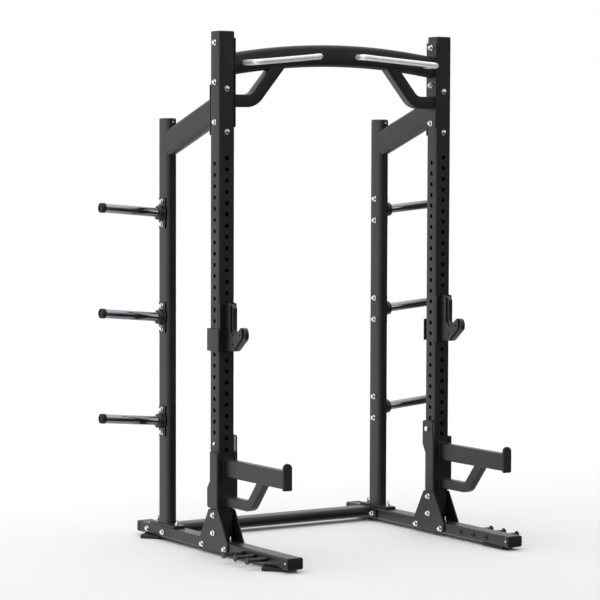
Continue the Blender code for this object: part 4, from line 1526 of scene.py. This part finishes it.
# ---- J-hooks -----------------------------------------------------------------------------------
@dataclass
class JHook:
    """A J-hook: a steel wrap with two cheeks, its locating peg and its plastic liner.

    Both outlines run from the top along the front to the foot, as (y from the plate, z, radius).
    """

    side: Side
    plate: float = 0.006
    # The gaps to the upright at its front, its outer side and its rear.
    clearance: tuple[float, float, float] = (0.001, 0.0024, 0.0105)
    wrap_top: float = 1.015
    bend: float = 0.007
    inner_bend: float = 0.002
    inset: float = 0.0026
    cheek_offset: float = 0.0107
    cheek_thickness: float = 0.006
    # The peg's height, radius and length.
    peg: tuple[float, float, float] = (0.950, 0.0085, 0.024)
    peg_lead: float = 0.002
    peg_sides: int = 32
    cheek_line: tuple[tuple[float, float, float], ...] = (
        (-0.046, 1.133, 0.007),
        (-0.046, 1.002, 0.008),
        (-0.099, 1.002, 0.014),
        (-0.1375, 1.034, 0.007),
        (-0.1455, 0.988, 0.014),
        (-0.071, 0.9215, 0.024),
    )
    liner_line: tuple[tuple[float, float, float], ...] = (
        (-0.043, 1.128, 0.004),
        (-0.061, 1.112, 0.006),
        (-0.061, 1.007, 0.010),
        (-0.095, 1.007, 0.012),
        (-0.122, 1.029, 0.010),
        (-0.161, 1.029, 0.026),
        (-0.161, 0.981, 0.018),
        (-0.084, 0.9205, 0.030),
    )
    screws: tuple[tuple[float, float], ...] = (
        (-0.030, 1.092),
        (-0.030, 1.020),
        (-0.131, 0.996),
        (-0.0765, 0.993),
        (-0.076, 0.9515),
    )

    def outline(self, back: float, line: Sequence[Sequence[float]], face: float) -> Outline:
        """Return a J outline in (y, z), closed along its back edge."""
        corners = [(back, line[0][1]), *((y, z) for y, z, _ in line), (back, line[-1][1])]
        return shifted(rounded_polygon(corners, (0, *(radius for _, _, radius in line), 0)), face, 0)

    def build(self, shop: Workshop) -> None:
        """Make the hook, its liner and its screws.

        Args:
            shop: The workshop that makes the pieces.
        """
        upright = Span.of(self.side.label + "_upright").center
        front = SQUARE_TUBE.width / 2 + self.clearance[0]
        face = upright.y - front - self.plate
        middle = upright.x - self.side.value * self.inset
        self.build_weldment(shop, upright, face, middle)
        self.build_liner(shop, face, middle)
        self.build_screws(shop, upright, middle)

    def build_weldment(self, shop: Workshop, upright: Vector, face: float, middle: float) -> None:
        """Make the steel wrap with its tall front plate, its two cheeks and its peg.

        Args:
            shop: The workshop that makes the pieces.
            upright: The centre of the upright's box.
            face: The front face of the hook's plate.
            middle: The x of the liner's middle.
        """
        name = self.side.label + "_j_hook"
        sign = self.side.value
        span = Span.of(name)
        half = SQUARE_TUBE.width / 2
        front, outer, rear = (half + gap for gap in self.clearance)
        corners = (
            (-half, -front - self.plate),
            (outer + self.plate, -front - self.plate),
            (outer + self.plate, rear + self.plate),
            (-half, rear + self.plate),
            (-half, rear),
            (outer, rear),
            (outer, -front),
            (-half, -front),
        )
        wrap = rounded_polygon(corners, (0, self.bend, self.bend, 0, 0, *[self.inner_bend] * 2, 0))
        wrap = shifted(flipped(wrap, self.side), upright.x, upright.y)
        piece = shop.host(name + "_weldment", prism(plan(span.low.z), wrap, self.wrap_top - span.low.z))
        tall = span.high.z - span.low.z - self.bend
        outline = shifted(rounded_rectangle(2 * half, tall, self.bend), upright.x, span.high.z - tall / 2)
        tools = [prism(front_plane(face + self.plate), outline, self.plate)]
        cheek = self.outline(self.plate / 2, self.cheek_line, face)
        for way in (-1, 1):
            near = middle + way * self.cheek_offset
            tools.append(crosswise(cheek, near, near + way * self.cheek_thickness))
        peg_z, peg_radius, peg_length = self.peg
        start = (upright.x + sign * (outer + self.plate / 2), upright.y, peg_z)
        length = self.plate / 2 + peg_length
        lead = self.peg_lead
        peg = ((0, peg_radius), (length - lead, peg_radius), (length, peg_radius - lead))
        tools.append(turned(aimed(start, X_AXIS * -sign), peg, self.peg_sides))
        shop.combine(piece, "UNION", *tools)
        shop.ease(piece, 0.0007, angle=40)
        shop.dress(piece, Finish.POWDER, self.side.label + "_hook", stands_for=[name])

    def build_liner(self, shop: Workshop, face: float, middle: float) -> None:
        """Make the plastic block that fills the space between the cheeks.

        Args:
            shop: The workshop that makes the pieces.
            face: The front face of the hook's plate.
            middle: The x of the liner's middle.
        """
        name = self.side.label + "_j_hook"
        body = self.side.label + "_hook"
        inner = self.cheek_offset - GAP
        liner = crosswise(self.outline(-GAP, self.liner_line, face), middle - inner, middle + inner)
        shop.make(name + "_liner_block", liner, Finish.LINER, 0.0009, body, [name + "_liner"])

    def build_screws(self, shop: Workshop, upright: Vector, middle: float) -> None:
        """Make the screws that hold the liner between the cheeks.

        Args:
            shop: The workshop that makes the pieces.
            upright: The centre of the upright's box.
            middle: The x of the liner's middle.
        """
        name = self.side.label + "_j_hook_screws"
        row = FastenerRow(name, Fastener.SCREW, Finish.OXIDE, self.side.label + "_hook")
        for way in (-1, 1):
            x = middle + way * (self.cheek_offset + self.cheek_thickness)
            for y, z in self.screws:
                row.add((x, upright.y - SQUARE_TUBE.width / 2 + y, z), X_AXIS * way)
        row.build(shop)


# ---- spotter arms ------------------------------------------------------------------------------
@dataclass
class SpotterArm:
    """A spotter arm: a bent bracket, a hollow arm and a bent strut in one weldment, with its bumper.

    The bracket's two lobes are (y from the upright's centre, z), each with its corner radii.
    """

    side: Side
    plate: float = 0.008
    side_clearance: float = 0.0070
    back: float = 0.015
    bend: float = 0.009
    inner_bend: float = 0.002
    bracket_z: tuple[float, float] = (0.211, 0.463)
    arm: Tube = Tube(0.040, 0.079, 0.006, 0.003)
    arm_z: float = 0.395
    strut: Tube = Tube(0.0455, 0.038, 0.005, 0.003)
    strut_z: float = 0.2455
    strut_bend: float = 0.2165
    strut_angle: float = math.radians(50)
    strut_bend_radius: float = 0.050
    strut_run: float = 0.168
    front_clearance: float = 0.0012
    arm_floor: float = 0.002
    pin_z: float = 0.500
    pin_hole_radius: float = 0.0100
    pin_hole_start: float = 0.010
    pin_hole_depth: float = 0.0225
    drill_sides: int = 32
    pad_bottom: float = 0.4645
    pad_drop: float = 0.0015
    pad_share: float = 0.97
    pad_thickness: float = 0.0015
    pad_drill_depth: float = 0.020
    pad_corner: float = 0.002
    cap_foot: float = 0.005
    tab: tuple[tuple[float, float, float], ...] = (
        (-0.040, 0.440, 0),
        (0.015, 0.385, 0),
        (0.038, 0.425, 0.012),
        (0.038, 0.538, 0.012),
        (-0.040, 0.538, 0.012),
    )
    lobe: tuple[tuple[float, float, float], ...] = (
        (-0.035, 0.211, 0),
        (0.038, 0.211, 0.014),
        (0.038, 0.300, 0.014),
        (0.015, 0.330, 0),
        (-0.035, 0.330, 0),
    )

    def build(self, shop: Workshop) -> None:
        """Make the weldment, its beads and its bumper.

        Args:
            shop: The workshop that makes the pieces.
        """
        name = self.side.label + "_spotter_arm"
        sign = self.side.value
        upright = Span.of(self.side.label + "_upright").center
        half = SQUARE_TUBE.width / 2
        inside = half + self.side_clearance
        outside = inside + self.plate
        near = -half - self.front_clearance
        far = near - self.plate
        bottom, top = self.bracket_z
        channel = shifted(flipped(self.channel(inside, outside, near, far), self.side), upright.x, upright.y)
        piece = shop.host(name + "_weldment", prism(plan(bottom), channel, top - bottom))
        tools = []
        for way, line in ((-1, self.tab), (1, self.lobe)):
            outline = rounded_polygon([point[:2] for point in line], [point[2] for point in line])
            edges = (upright.x + sign * way * inside, upright.x + sign * way * outside)
            tools.append(crosswise(shifted(outline, upright.y, 0), *edges))
        face = upright.y + far
        middle = (upright.x, self.arm_z)
        length = face + self.plate / 2 - Span.of(name).low.y
        tools.append(prism(front_plane(face + self.plate / 2), self.arm.outer(*middle), length))
        tools.append(self.strut_solid(upright, face))
        shop.combine(piece, "UNION", *tools)
        void = prism(front_plane(face - self.arm_floor), self.arm.bore(*middle), length)
        start = (upright.x - sign * (outside + self.pin_hole_start), upright.y, self.pin_z)
        shop.combine(piece, "DIFFERENCE", void, self.pin_drill(start, X_AXIS * sign, self.pin_hole_depth))
        shop.ease(piece, 0.0008, angle=40)
        shop.dress(piece, Finish.POWDER, stands_for=[name])
        shop.bead(front_plane(face).ring(self.arm.outer(*middle, PROUD)))
        shop.bead(front_plane(face).ring(self.strut.upended().outer(upright.x, self.strut_z, PROUD)))
        shop.gather_beads(name + "_beads")
        self.build_pad(shop, upright, inside)
        self.build_cap(shop)

    def channel(self, inside: float, outside: float, near: float, far: float) -> Outline:
        """Return the bent bracket's section about the upright's centre, in (x, y).

        Args:
            inside: Half of the width between its sides.
            outside: Half of the width over them.
            near: The y of its web's inner face.
            far: The y of its web's outer face.

        Returns:
            The section's points, for the right half.
        """
        back = self.back
        corners = ((-outside, back), (-outside, far), (outside, far), (outside, back))
        corners += ((inside, back), (inside, near), (-inside, near), (-inside, back))
        return rounded_polygon(corners, (0, self.bend, self.bend, 0, 0, *[self.inner_bend] * 2, 0))

    def pin_drill(self, start: Sequence[float], direction: Vector, depth: float) -> bmesh.types.BMesh:
        """Return the drill that cuts the lock pin's hole from a point along a direction.

        Args:
            start: The drill's first point.
            direction: The way it runs.
            depth: How far it runs.

        Returns:
            A bmesh of the shape.
        """
        radius = self.pin_hole_radius
        return turned(aimed(start, direction), ((0, radius), (depth, radius)), self.drill_sides)

    def build_pad(self, shop: Workshop, upright: Vector, inside: float) -> None:
        """Make the pale plastic pad that keeps the locking tab off the upright's coat.

        Args:
            shop: The workshop that makes the pieces.
            upright: The centre of the upright's box.
            inside: The distance from the upright's centre to the tab.
        """
        half = SQUARE_TUBE.width / 2
        line = [point for point in self.tab if point[1] > self.pad_bottom]
        corners = [(y * self.pad_share, z - self.pad_drop) for y, z, _ in line]
        low = [(corners[-1][0], self.pad_bottom), (corners[0][0], self.pad_bottom)]
        radii = (self.pad_corner, self.pad_corner, *(radius for _, _, radius in line))
        outline = rounded_polygon([*low, *corners], radii)
        sign = -self.side.value
        near, far = (upright.x + sign * (inside - GAP - thick) for thick in (self.pad_thickness, 0))
        block = crosswise(shifted(outline, upright.y, 0), near, far)
        piece = shop.host(self.side.label + "_tab_pad", block)
        start = (upright.x + sign * half, upright.y, self.pin_z)
        shop.combine(piece, "DIFFERENCE", self.pin_drill(start, X_AXIS * sign, self.pad_drill_depth))
        shop.ease(piece, 0.0004)
        shop.dress(piece, Finish.PAD)

    def strut_solid(self, upright: Vector, face: float) -> bmesh.types.BMesh:
        """Make the bent strut that props the arm from the bracket's foot.

        Args:
            upright: The centre of the upright's box.
            face: The front face of the bracket.

        Returns:
            A bmesh of the shape.
        """
        start = Vector((upright.x, face + self.plate / 2, self.strut_z))
        corner = Vector((upright.x, upright.y - SQUARE_TUBE.height / 2 - self.strut_bend, self.strut_z))
        rising = Vector((0, -math.cos(self.strut_angle), math.sin(self.strut_angle)))
        path = rounded_path([start, corner, corner + rising * self.strut_run], self.strut_bend_radius, 14)
        return skin(swept(self.strut.outer(), path, X_AXIS))

    def build_cap(self, shop: Workshop) -> None:
        """Make the rubber bumper on the arm's end, round at its top.

        Args:
            shop: The workshop that makes the pieces.
        """
        name = self.side.label + "_arm_cap"
        span = Span.of(name)
        half = span.size.x / 2
        crown = arc(Vector((0, span.high.z - half)), half, 0, math.pi, 24)
        foot = self.cap_foot
        right = arc(Vector((half - foot, span.low.z + foot)), foot, -math.pi / 2, math.pi / 2, 6)
        left = arc(Vector((foot - half, span.low.z + foot)), foot, -math.pi, math.pi / 2, 6)
        outline = shifted([*right, *crown, *left], span.center.x, 0)
        cap = prism(front_plane(span.high.y), outline, span.size.y)
        shop.make(name + "_bumper", cap, Finish.RUBBER, 0.0016, stands_for=[name])


@dataclass
class LockPin:
    """The headed pin that locks a spotter arm to its upright."""

    side: Side
    radius: float = 0.0085
    head_length: float = 0.010

    def build(self, shop: Workshop) -> None:
        """Make the pin, turned in one piece with a chamfered head and a bullet tip.

        Args:
            shop: The workshop that makes the pieces.
        """
        name = self.side.label + "_lock_pin"
        span = Span.of(name)
        sign = self.side.value
        start = span.low.x if sign > 0 else span.high.x
        head, length = span.size.z / 2, span.size.x
        profile = [(0, head - 0.0022), (0.0012, head - 0.0006), (0.003, head), (self.head_length, head)]
        profile += [(self.head_length, self.radius), (length - 0.004, self.radius)]
        profile += [(length - 0.0015, self.radius - 0.0012), (length, self.radius - 0.003)]
        pin = turned(aimed((start, span.center.y, span.center.z), X_AXIS * sign), profile)
        shop.make(name + "_turning", pin, Finish.ZINC, 0.0003, self.side.label + "_pin", [name])


# ---- hardware ----------------------------------------------------------------------------------
@dataclass
class Hardware:
    """Every bolt, nut and screw of one half, set where the plates meet their tubes."""

    side: Side
    beam_bolts: tuple[float, ...] = (2.286, 2.111, 1.934)
    brace_bolts: tuple[float, ...] = (2.082, 1.891)
    gusset_bolts: tuple[tuple[float, float], ...] = (
        (0, 0.1785),
        (0, 0.098),
        (0.098, 0.037),
        (-0.098, 0.037),
    )
    horn_spread: float = 0.052
    flange_spread: float = 0.089
    cross_spread: float = 0.071
    cross_z: float = 0.040
    cross_flange: float = 0.008
    foot_flange: float = 0.012
    thin_plate: float = 0.006
    stud_y: float = -0.1215
    # The cap screw's (y, z) on the rail cap's sides.
    cap_screw: tuple[float, float] = (-0.6445, 0.042)
    tube_screw_z: float = 1.935
    rows: dict[Fastener, FastenerRow] = field(default_factory=dict)

    def build(self, shop: Workshop) -> None:
        """Make one row for each kind of fastener.

        Args:
            shop: The workshop that makes the pieces.
        """
        for kind in Fastener:
            finish = Finish.POWDER if kind is Fastener.PLUG else Finish.ZINC
            name = f"{self.side.label}_{kind.name.lower()}s"
            self.rows[kind] = FastenerRow(name, kind, finish)
        self.bolt_plates()
        self.bolt_brace()
        self.fix_feet()
        self.fix_rail()
        for row in self.rows.values():
            row.build(shop)

    def through(self, outer: float, inner: float, points: Iterable[tuple[float, float]]) -> None:
        """Put a bolt head on the outer face and a nut on the inner one, at each point.

        Args:
            outer: The distance from the upright's middle to the bolt head.
            inner: The distance to the nut.
            points: Each bolt's (y, z).
        """
        sign = self.side.value
        middle = Span.of(self.side.label + "_upright").center.x
        for y, z in points:
            self.rows[Fastener.BOLT].add((middle + sign * outer, y, z), X_AXIS * sign)
            self.rows[Fastener.NUT].add((middle - sign * inner, y, z), X_AXIS * -sign)

    def bolt_plates(self) -> None:
        """Bolt the beam's plate, the gussets, the cross-member's flange and the horns' plates."""
        label = self.side.label
        half = SQUARE_TUBE.width / 2
        y = Span.of(label + "_upright").center.y
        plate = Span.of(label + "_beam_plate").size.x + GAP
        self.through(half, half + plate, [(y, z) for z in self.beam_bolts])
        gusset = Span.of(label + "_outer_gusset").size.x + GAP
        self.through(half + gusset, half + gusset, [(y + dy, z) for dy, z in self.gusset_bolts])
        cross = Span.of("rear_cross_member").center.y
        spread = [(cross + way * self.cross_spread, self.cross_z) for way in (-1, 1)]
        self.through(half, half + self.cross_flange + GAP, spread)
        rear, narrow = Span.of(label + "_rear_upright").center.y, OVAL_TUBE.width / 2
        for _, root_z in HORN_LEVELS:
            points = [(rear, root_z + way * self.horn_spread) for way in (-1, 1)]
            self.through(narrow + self.thin_plate + GAP, narrow, points)

    def bolt_brace(self) -> None:
        """Bolt the top brace's plate through the upright from its front."""
        upright = Span.of(self.side.label + "_upright")
        x, nut_y = upright.center.x, upright.high.y + self.thin_plate + GAP
        for z in self.brace_bolts:
            self.rows[Fastener.BOLT].add((x, upright.low.y, z), -Y_AXIS)
            self.rows[Fastener.NUT].add((x, nut_y, z), Y_AXIS)

    def fix_feet(self) -> None:
        """Fix the rear upright's flange and front face, and the front rail cap."""
        rear = Span.of(self.side.label + "_rear_upright")
        rail_x = Span.of(self.side.label + "_base_rail").center.x
        cap_half = Span.of(self.side.label + "_front_rail_cap").size.x / 2
        for way in (-1, 1):
            point = (rear.center.x, rear.center.y + way * self.flange_spread, rear.low.z + self.foot_flange)
            self.rows[Fastener.FLANGE_NUT].add(point, Z_AXIS)
            self.rows[Fastener.SCREW].add((rail_x + way * cap_half, *self.cap_screw), X_AXIS * way)
        point = (rear.center.x, rear.center.y - OVAL_TUBE.height / 2, self.tube_screw_z)
        self.rows[Fastener.SCREW].add(point, -Y_AXIS)

    def fix_rail(self) -> None:
        """Fix the gusset's stud on the rail, and plug the band pegs' holes on its inner face."""
        label, sign = self.side.label, self.side.value
        rail = Span.of(label + "_base_rail")
        self.rows[Fastener.STUD].add((rail.center.x, self.stud_y, rail.high.z), Z_AXIS)
        inner = rail.center.x - sign * SQUARE_TUBE.width / 2
        for index in range(1, BandPegs.count + 1):
            peg = Span.of(f"{label}_band_peg_{index}").center
            self.rows[Fastener.PLUG].add((inner, peg.y, peg.z), X_AXIS * -sign)


# ---- studio ------------------------------------------------------------------------------------
@dataclass(frozen=True)
class Glow:
    """A soft bright patch of the surroundings: where it is, the cosines of its rim, its strength."""

    toward: tuple[float, float, float]
    rim: tuple[float, float]
    strength: float


@dataclass(frozen=True)
class Studio:
    """The white sweep, its lights and the camera."""

    eye: tuple[float, float, float] = (-6.5611, -10.0182, 1.8863)
    right: tuple[float, float, float] = (0.84231, -0.53898, 0.00332)
    up: tuple[float, float, float] = (0.03159, 0.05553, 0.99796)
    ahead: tuple[float, float, float] = (0.53807, 0.84048, -0.06380)
    lens: float = 156.52
    dusk: float = 0.06
    glows: tuple[Glow, ...] = (
        Glow((-0.60, 0.74, 0.30), (-0.75, 0.55), 1.08),
        Glow((0.10, -0.15, 1.0), (0.45, 0.80), 0.80),
        Glow((0.54, -0.80, 0.28), (0.975, 0.988), 1.6),
        Glow((0.0, 0.0, -1.0), (0.50, 0.80), 0.6),
    )
    # The floor's near and far colours are painted shade, greyer in front for the light's falloff towards the
    # camera; the span is the y over which that painted shade runs.
    sweep_shades: tuple[str, str] = ("d4d4d4", "e6e6e6")
    sweep_depth: tuple[float, float] = (-2.5, 3.0)
    sweep_half: float = 30
    # The overhead bank's strength, spread and tilt, and how far the camera sees.
    bank_strength: float = 0.10
    bank_spread: float = math.radians(90)
    bank_tilt: float = math.radians(-6)
    sight: float = 100

    def build(self) -> None:
        """Set the floor, the surroundings, the lights and the camera."""
        self.build_floor()
        self.build_world()
        self.build_lights()
        self.build_camera()
        bpy.context.scene.view_settings.view_transform = "Standard"

    def build_floor(self) -> None:
        """Lay a wide paper sweep."""
        floor = bpy.data.objects.new("studio_floor", bpy.data.meshes.new("studio_floor"))
        work = bmesh.new()
        bmesh.ops.create_grid(work, x_segments=1, y_segments=1, size=self.sweep_half)
        work.to_mesh(floor.data)
        work.free()
        # Seamless white paper: matt, with no shine to give its edge away. Its colour is painted shade, greyer
        # in front, standing in for the light's falloff towards the camera.
        paper = bpy.data.materials.new("paper_sweep_white")
        paper.use_nodes = True
        tree = paper.node_tree
        shader = tree.nodes["Principled BSDF"]
        shader.inputs["Roughness"].default_value = 1.0
        shader.inputs["Specular IOR Level"].default_value = 0.0
        coords = add_node(tree, "ShaderNodeTexCoord").outputs["Object"]
        place = add_node(tree, "ShaderNodeSeparateXYZ", {0: coords})
        low, high = self.sweep_depth
        depth_inputs = {"Value": place.outputs["Y"], "From Min": low, "From Max": high}
        depth = add_node(tree, "ShaderNodeMapRange", depth_inputs)
        # Painted shade: the floor's colour runs from the darker near shade to the lighter far one along y.
        near, far = (linear(shade) for shade in self.sweep_shades)
        shade_inputs = {0: depth.outputs["Result"], 6: near, 7: far}
        shade = add_node(tree, "ShaderNodeMix", shade_inputs, data_type="RGBA")
        tree.links.new(shade.outputs[2], shader.inputs["Base Color"])
        floor.data.materials.append(paper)
        bpy.context.scene.collection.objects.link(floor)
        floor.visible_glossy = False

    def build_world(self) -> None:
        """Surround the rack with soft glows in a dim room, and plain white behind it."""
        world = bpy.data.worlds.new("studio")
        world.use_nodes = True
        tree = world.node_tree
        tree.nodes.clear()
        place = add_node(tree, "ShaderNodeTexCoord").outputs["Generated"]
        level = add_node(tree, "ShaderNodeValue").outputs[0]
        level.default_value = self.dusk
        for glow in self.glows:
            toward = tuple(Vector(glow.toward).normalized())
            aim = add_node(tree, "ShaderNodeVectorMath", {0: place, 1: toward}, operation="DOT_PRODUCT")
            limits = {"Value": aim.outputs["Value"], "From Min": glow.rim[0], "From Max": glow.rim[1]}
            limits |= {"To Max": glow.strength}
            patch = add_node(tree, "ShaderNodeMapRange", limits, interpolation_type="SMOOTHSTEP")
            level = add_node(tree, "ShaderNodeMath", {0: level, 1: patch.outputs["Result"]}).outputs[0]
        room = add_node(tree, "ShaderNodeBackground", {"Color": linear("ffffff"), "Strength": level})
        backdrop = add_node(tree, "ShaderNodeBackground", {"Color": linear("ffffff"), "Strength": 1.0})
        path = add_node(tree, "ShaderNodeLightPath")
        mix_inputs = {0: path.outputs["Is Camera Ray"], 1: room.outputs[0], 2: backdrop.outputs[0]}
        mix = add_node(tree, "ShaderNodeMixShader", mix_inputs)
        add_node(tree, "ShaderNodeOutputWorld", {"Surface": mix.outputs[0]})
        bpy.context.scene.world = world

    def build_lights(self) -> None:
        """Fill the rack and the floor evenly from a broad overhead bank."""
        light = bpy.data.lights.new("overhead", "SUN")
        light.energy = self.bank_strength
        light.angle = self.bank_spread
        lamp = bpy.data.objects.new("overhead", light)
        lamp.rotation_euler = (0, self.bank_tilt, 0)
        bpy.context.scene.collection.objects.link(lamp)

    def build_camera(self) -> None:
        """Stand the camera in front and to the left, at chest height."""
        camera = bpy.data.cameras.new("camera")
        camera.lens = self.lens
        camera.clip_end = self.sight
        holder = bpy.data.objects.new("camera", camera)
        turn = Matrix((self.right, self.up, tuple(-a for a in self.ahead))).transposed()
        holder.matrix_world = Matrix.Translation(self.eye) @ turn.to_4x4()
        bpy.context.scene.collection.objects.link(holder)
        bpy.context.scene.camera = holder


def main() -> None:
    """Build the rack round its frame."""
    logging.basicConfig(level=logging.INFO, format="%(message)s")
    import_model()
    shop = Workshop()
    for side in Side:
        BaseRail(side).build(shop)
        Upright(side).build(shop)
        Gussets(side).build(shop)
        RearUpright(side).build(shop)
        TopBrace(side).build(shop)
        for level, height in HORN_LEVELS:
            PlateHorn(side, level, height).build(shop)
        JHook(side).build(shop)
        SpotterArm(side).build(shop)
        LockPin(side).build(shop)
        BandPegs(side).build(shop)
        Hardware(side).build(shop)
    CrossMember().build(shop)
    PullUpBeam().build(shop)
    Studio().build()


if __name__ == "__main__":
    main()
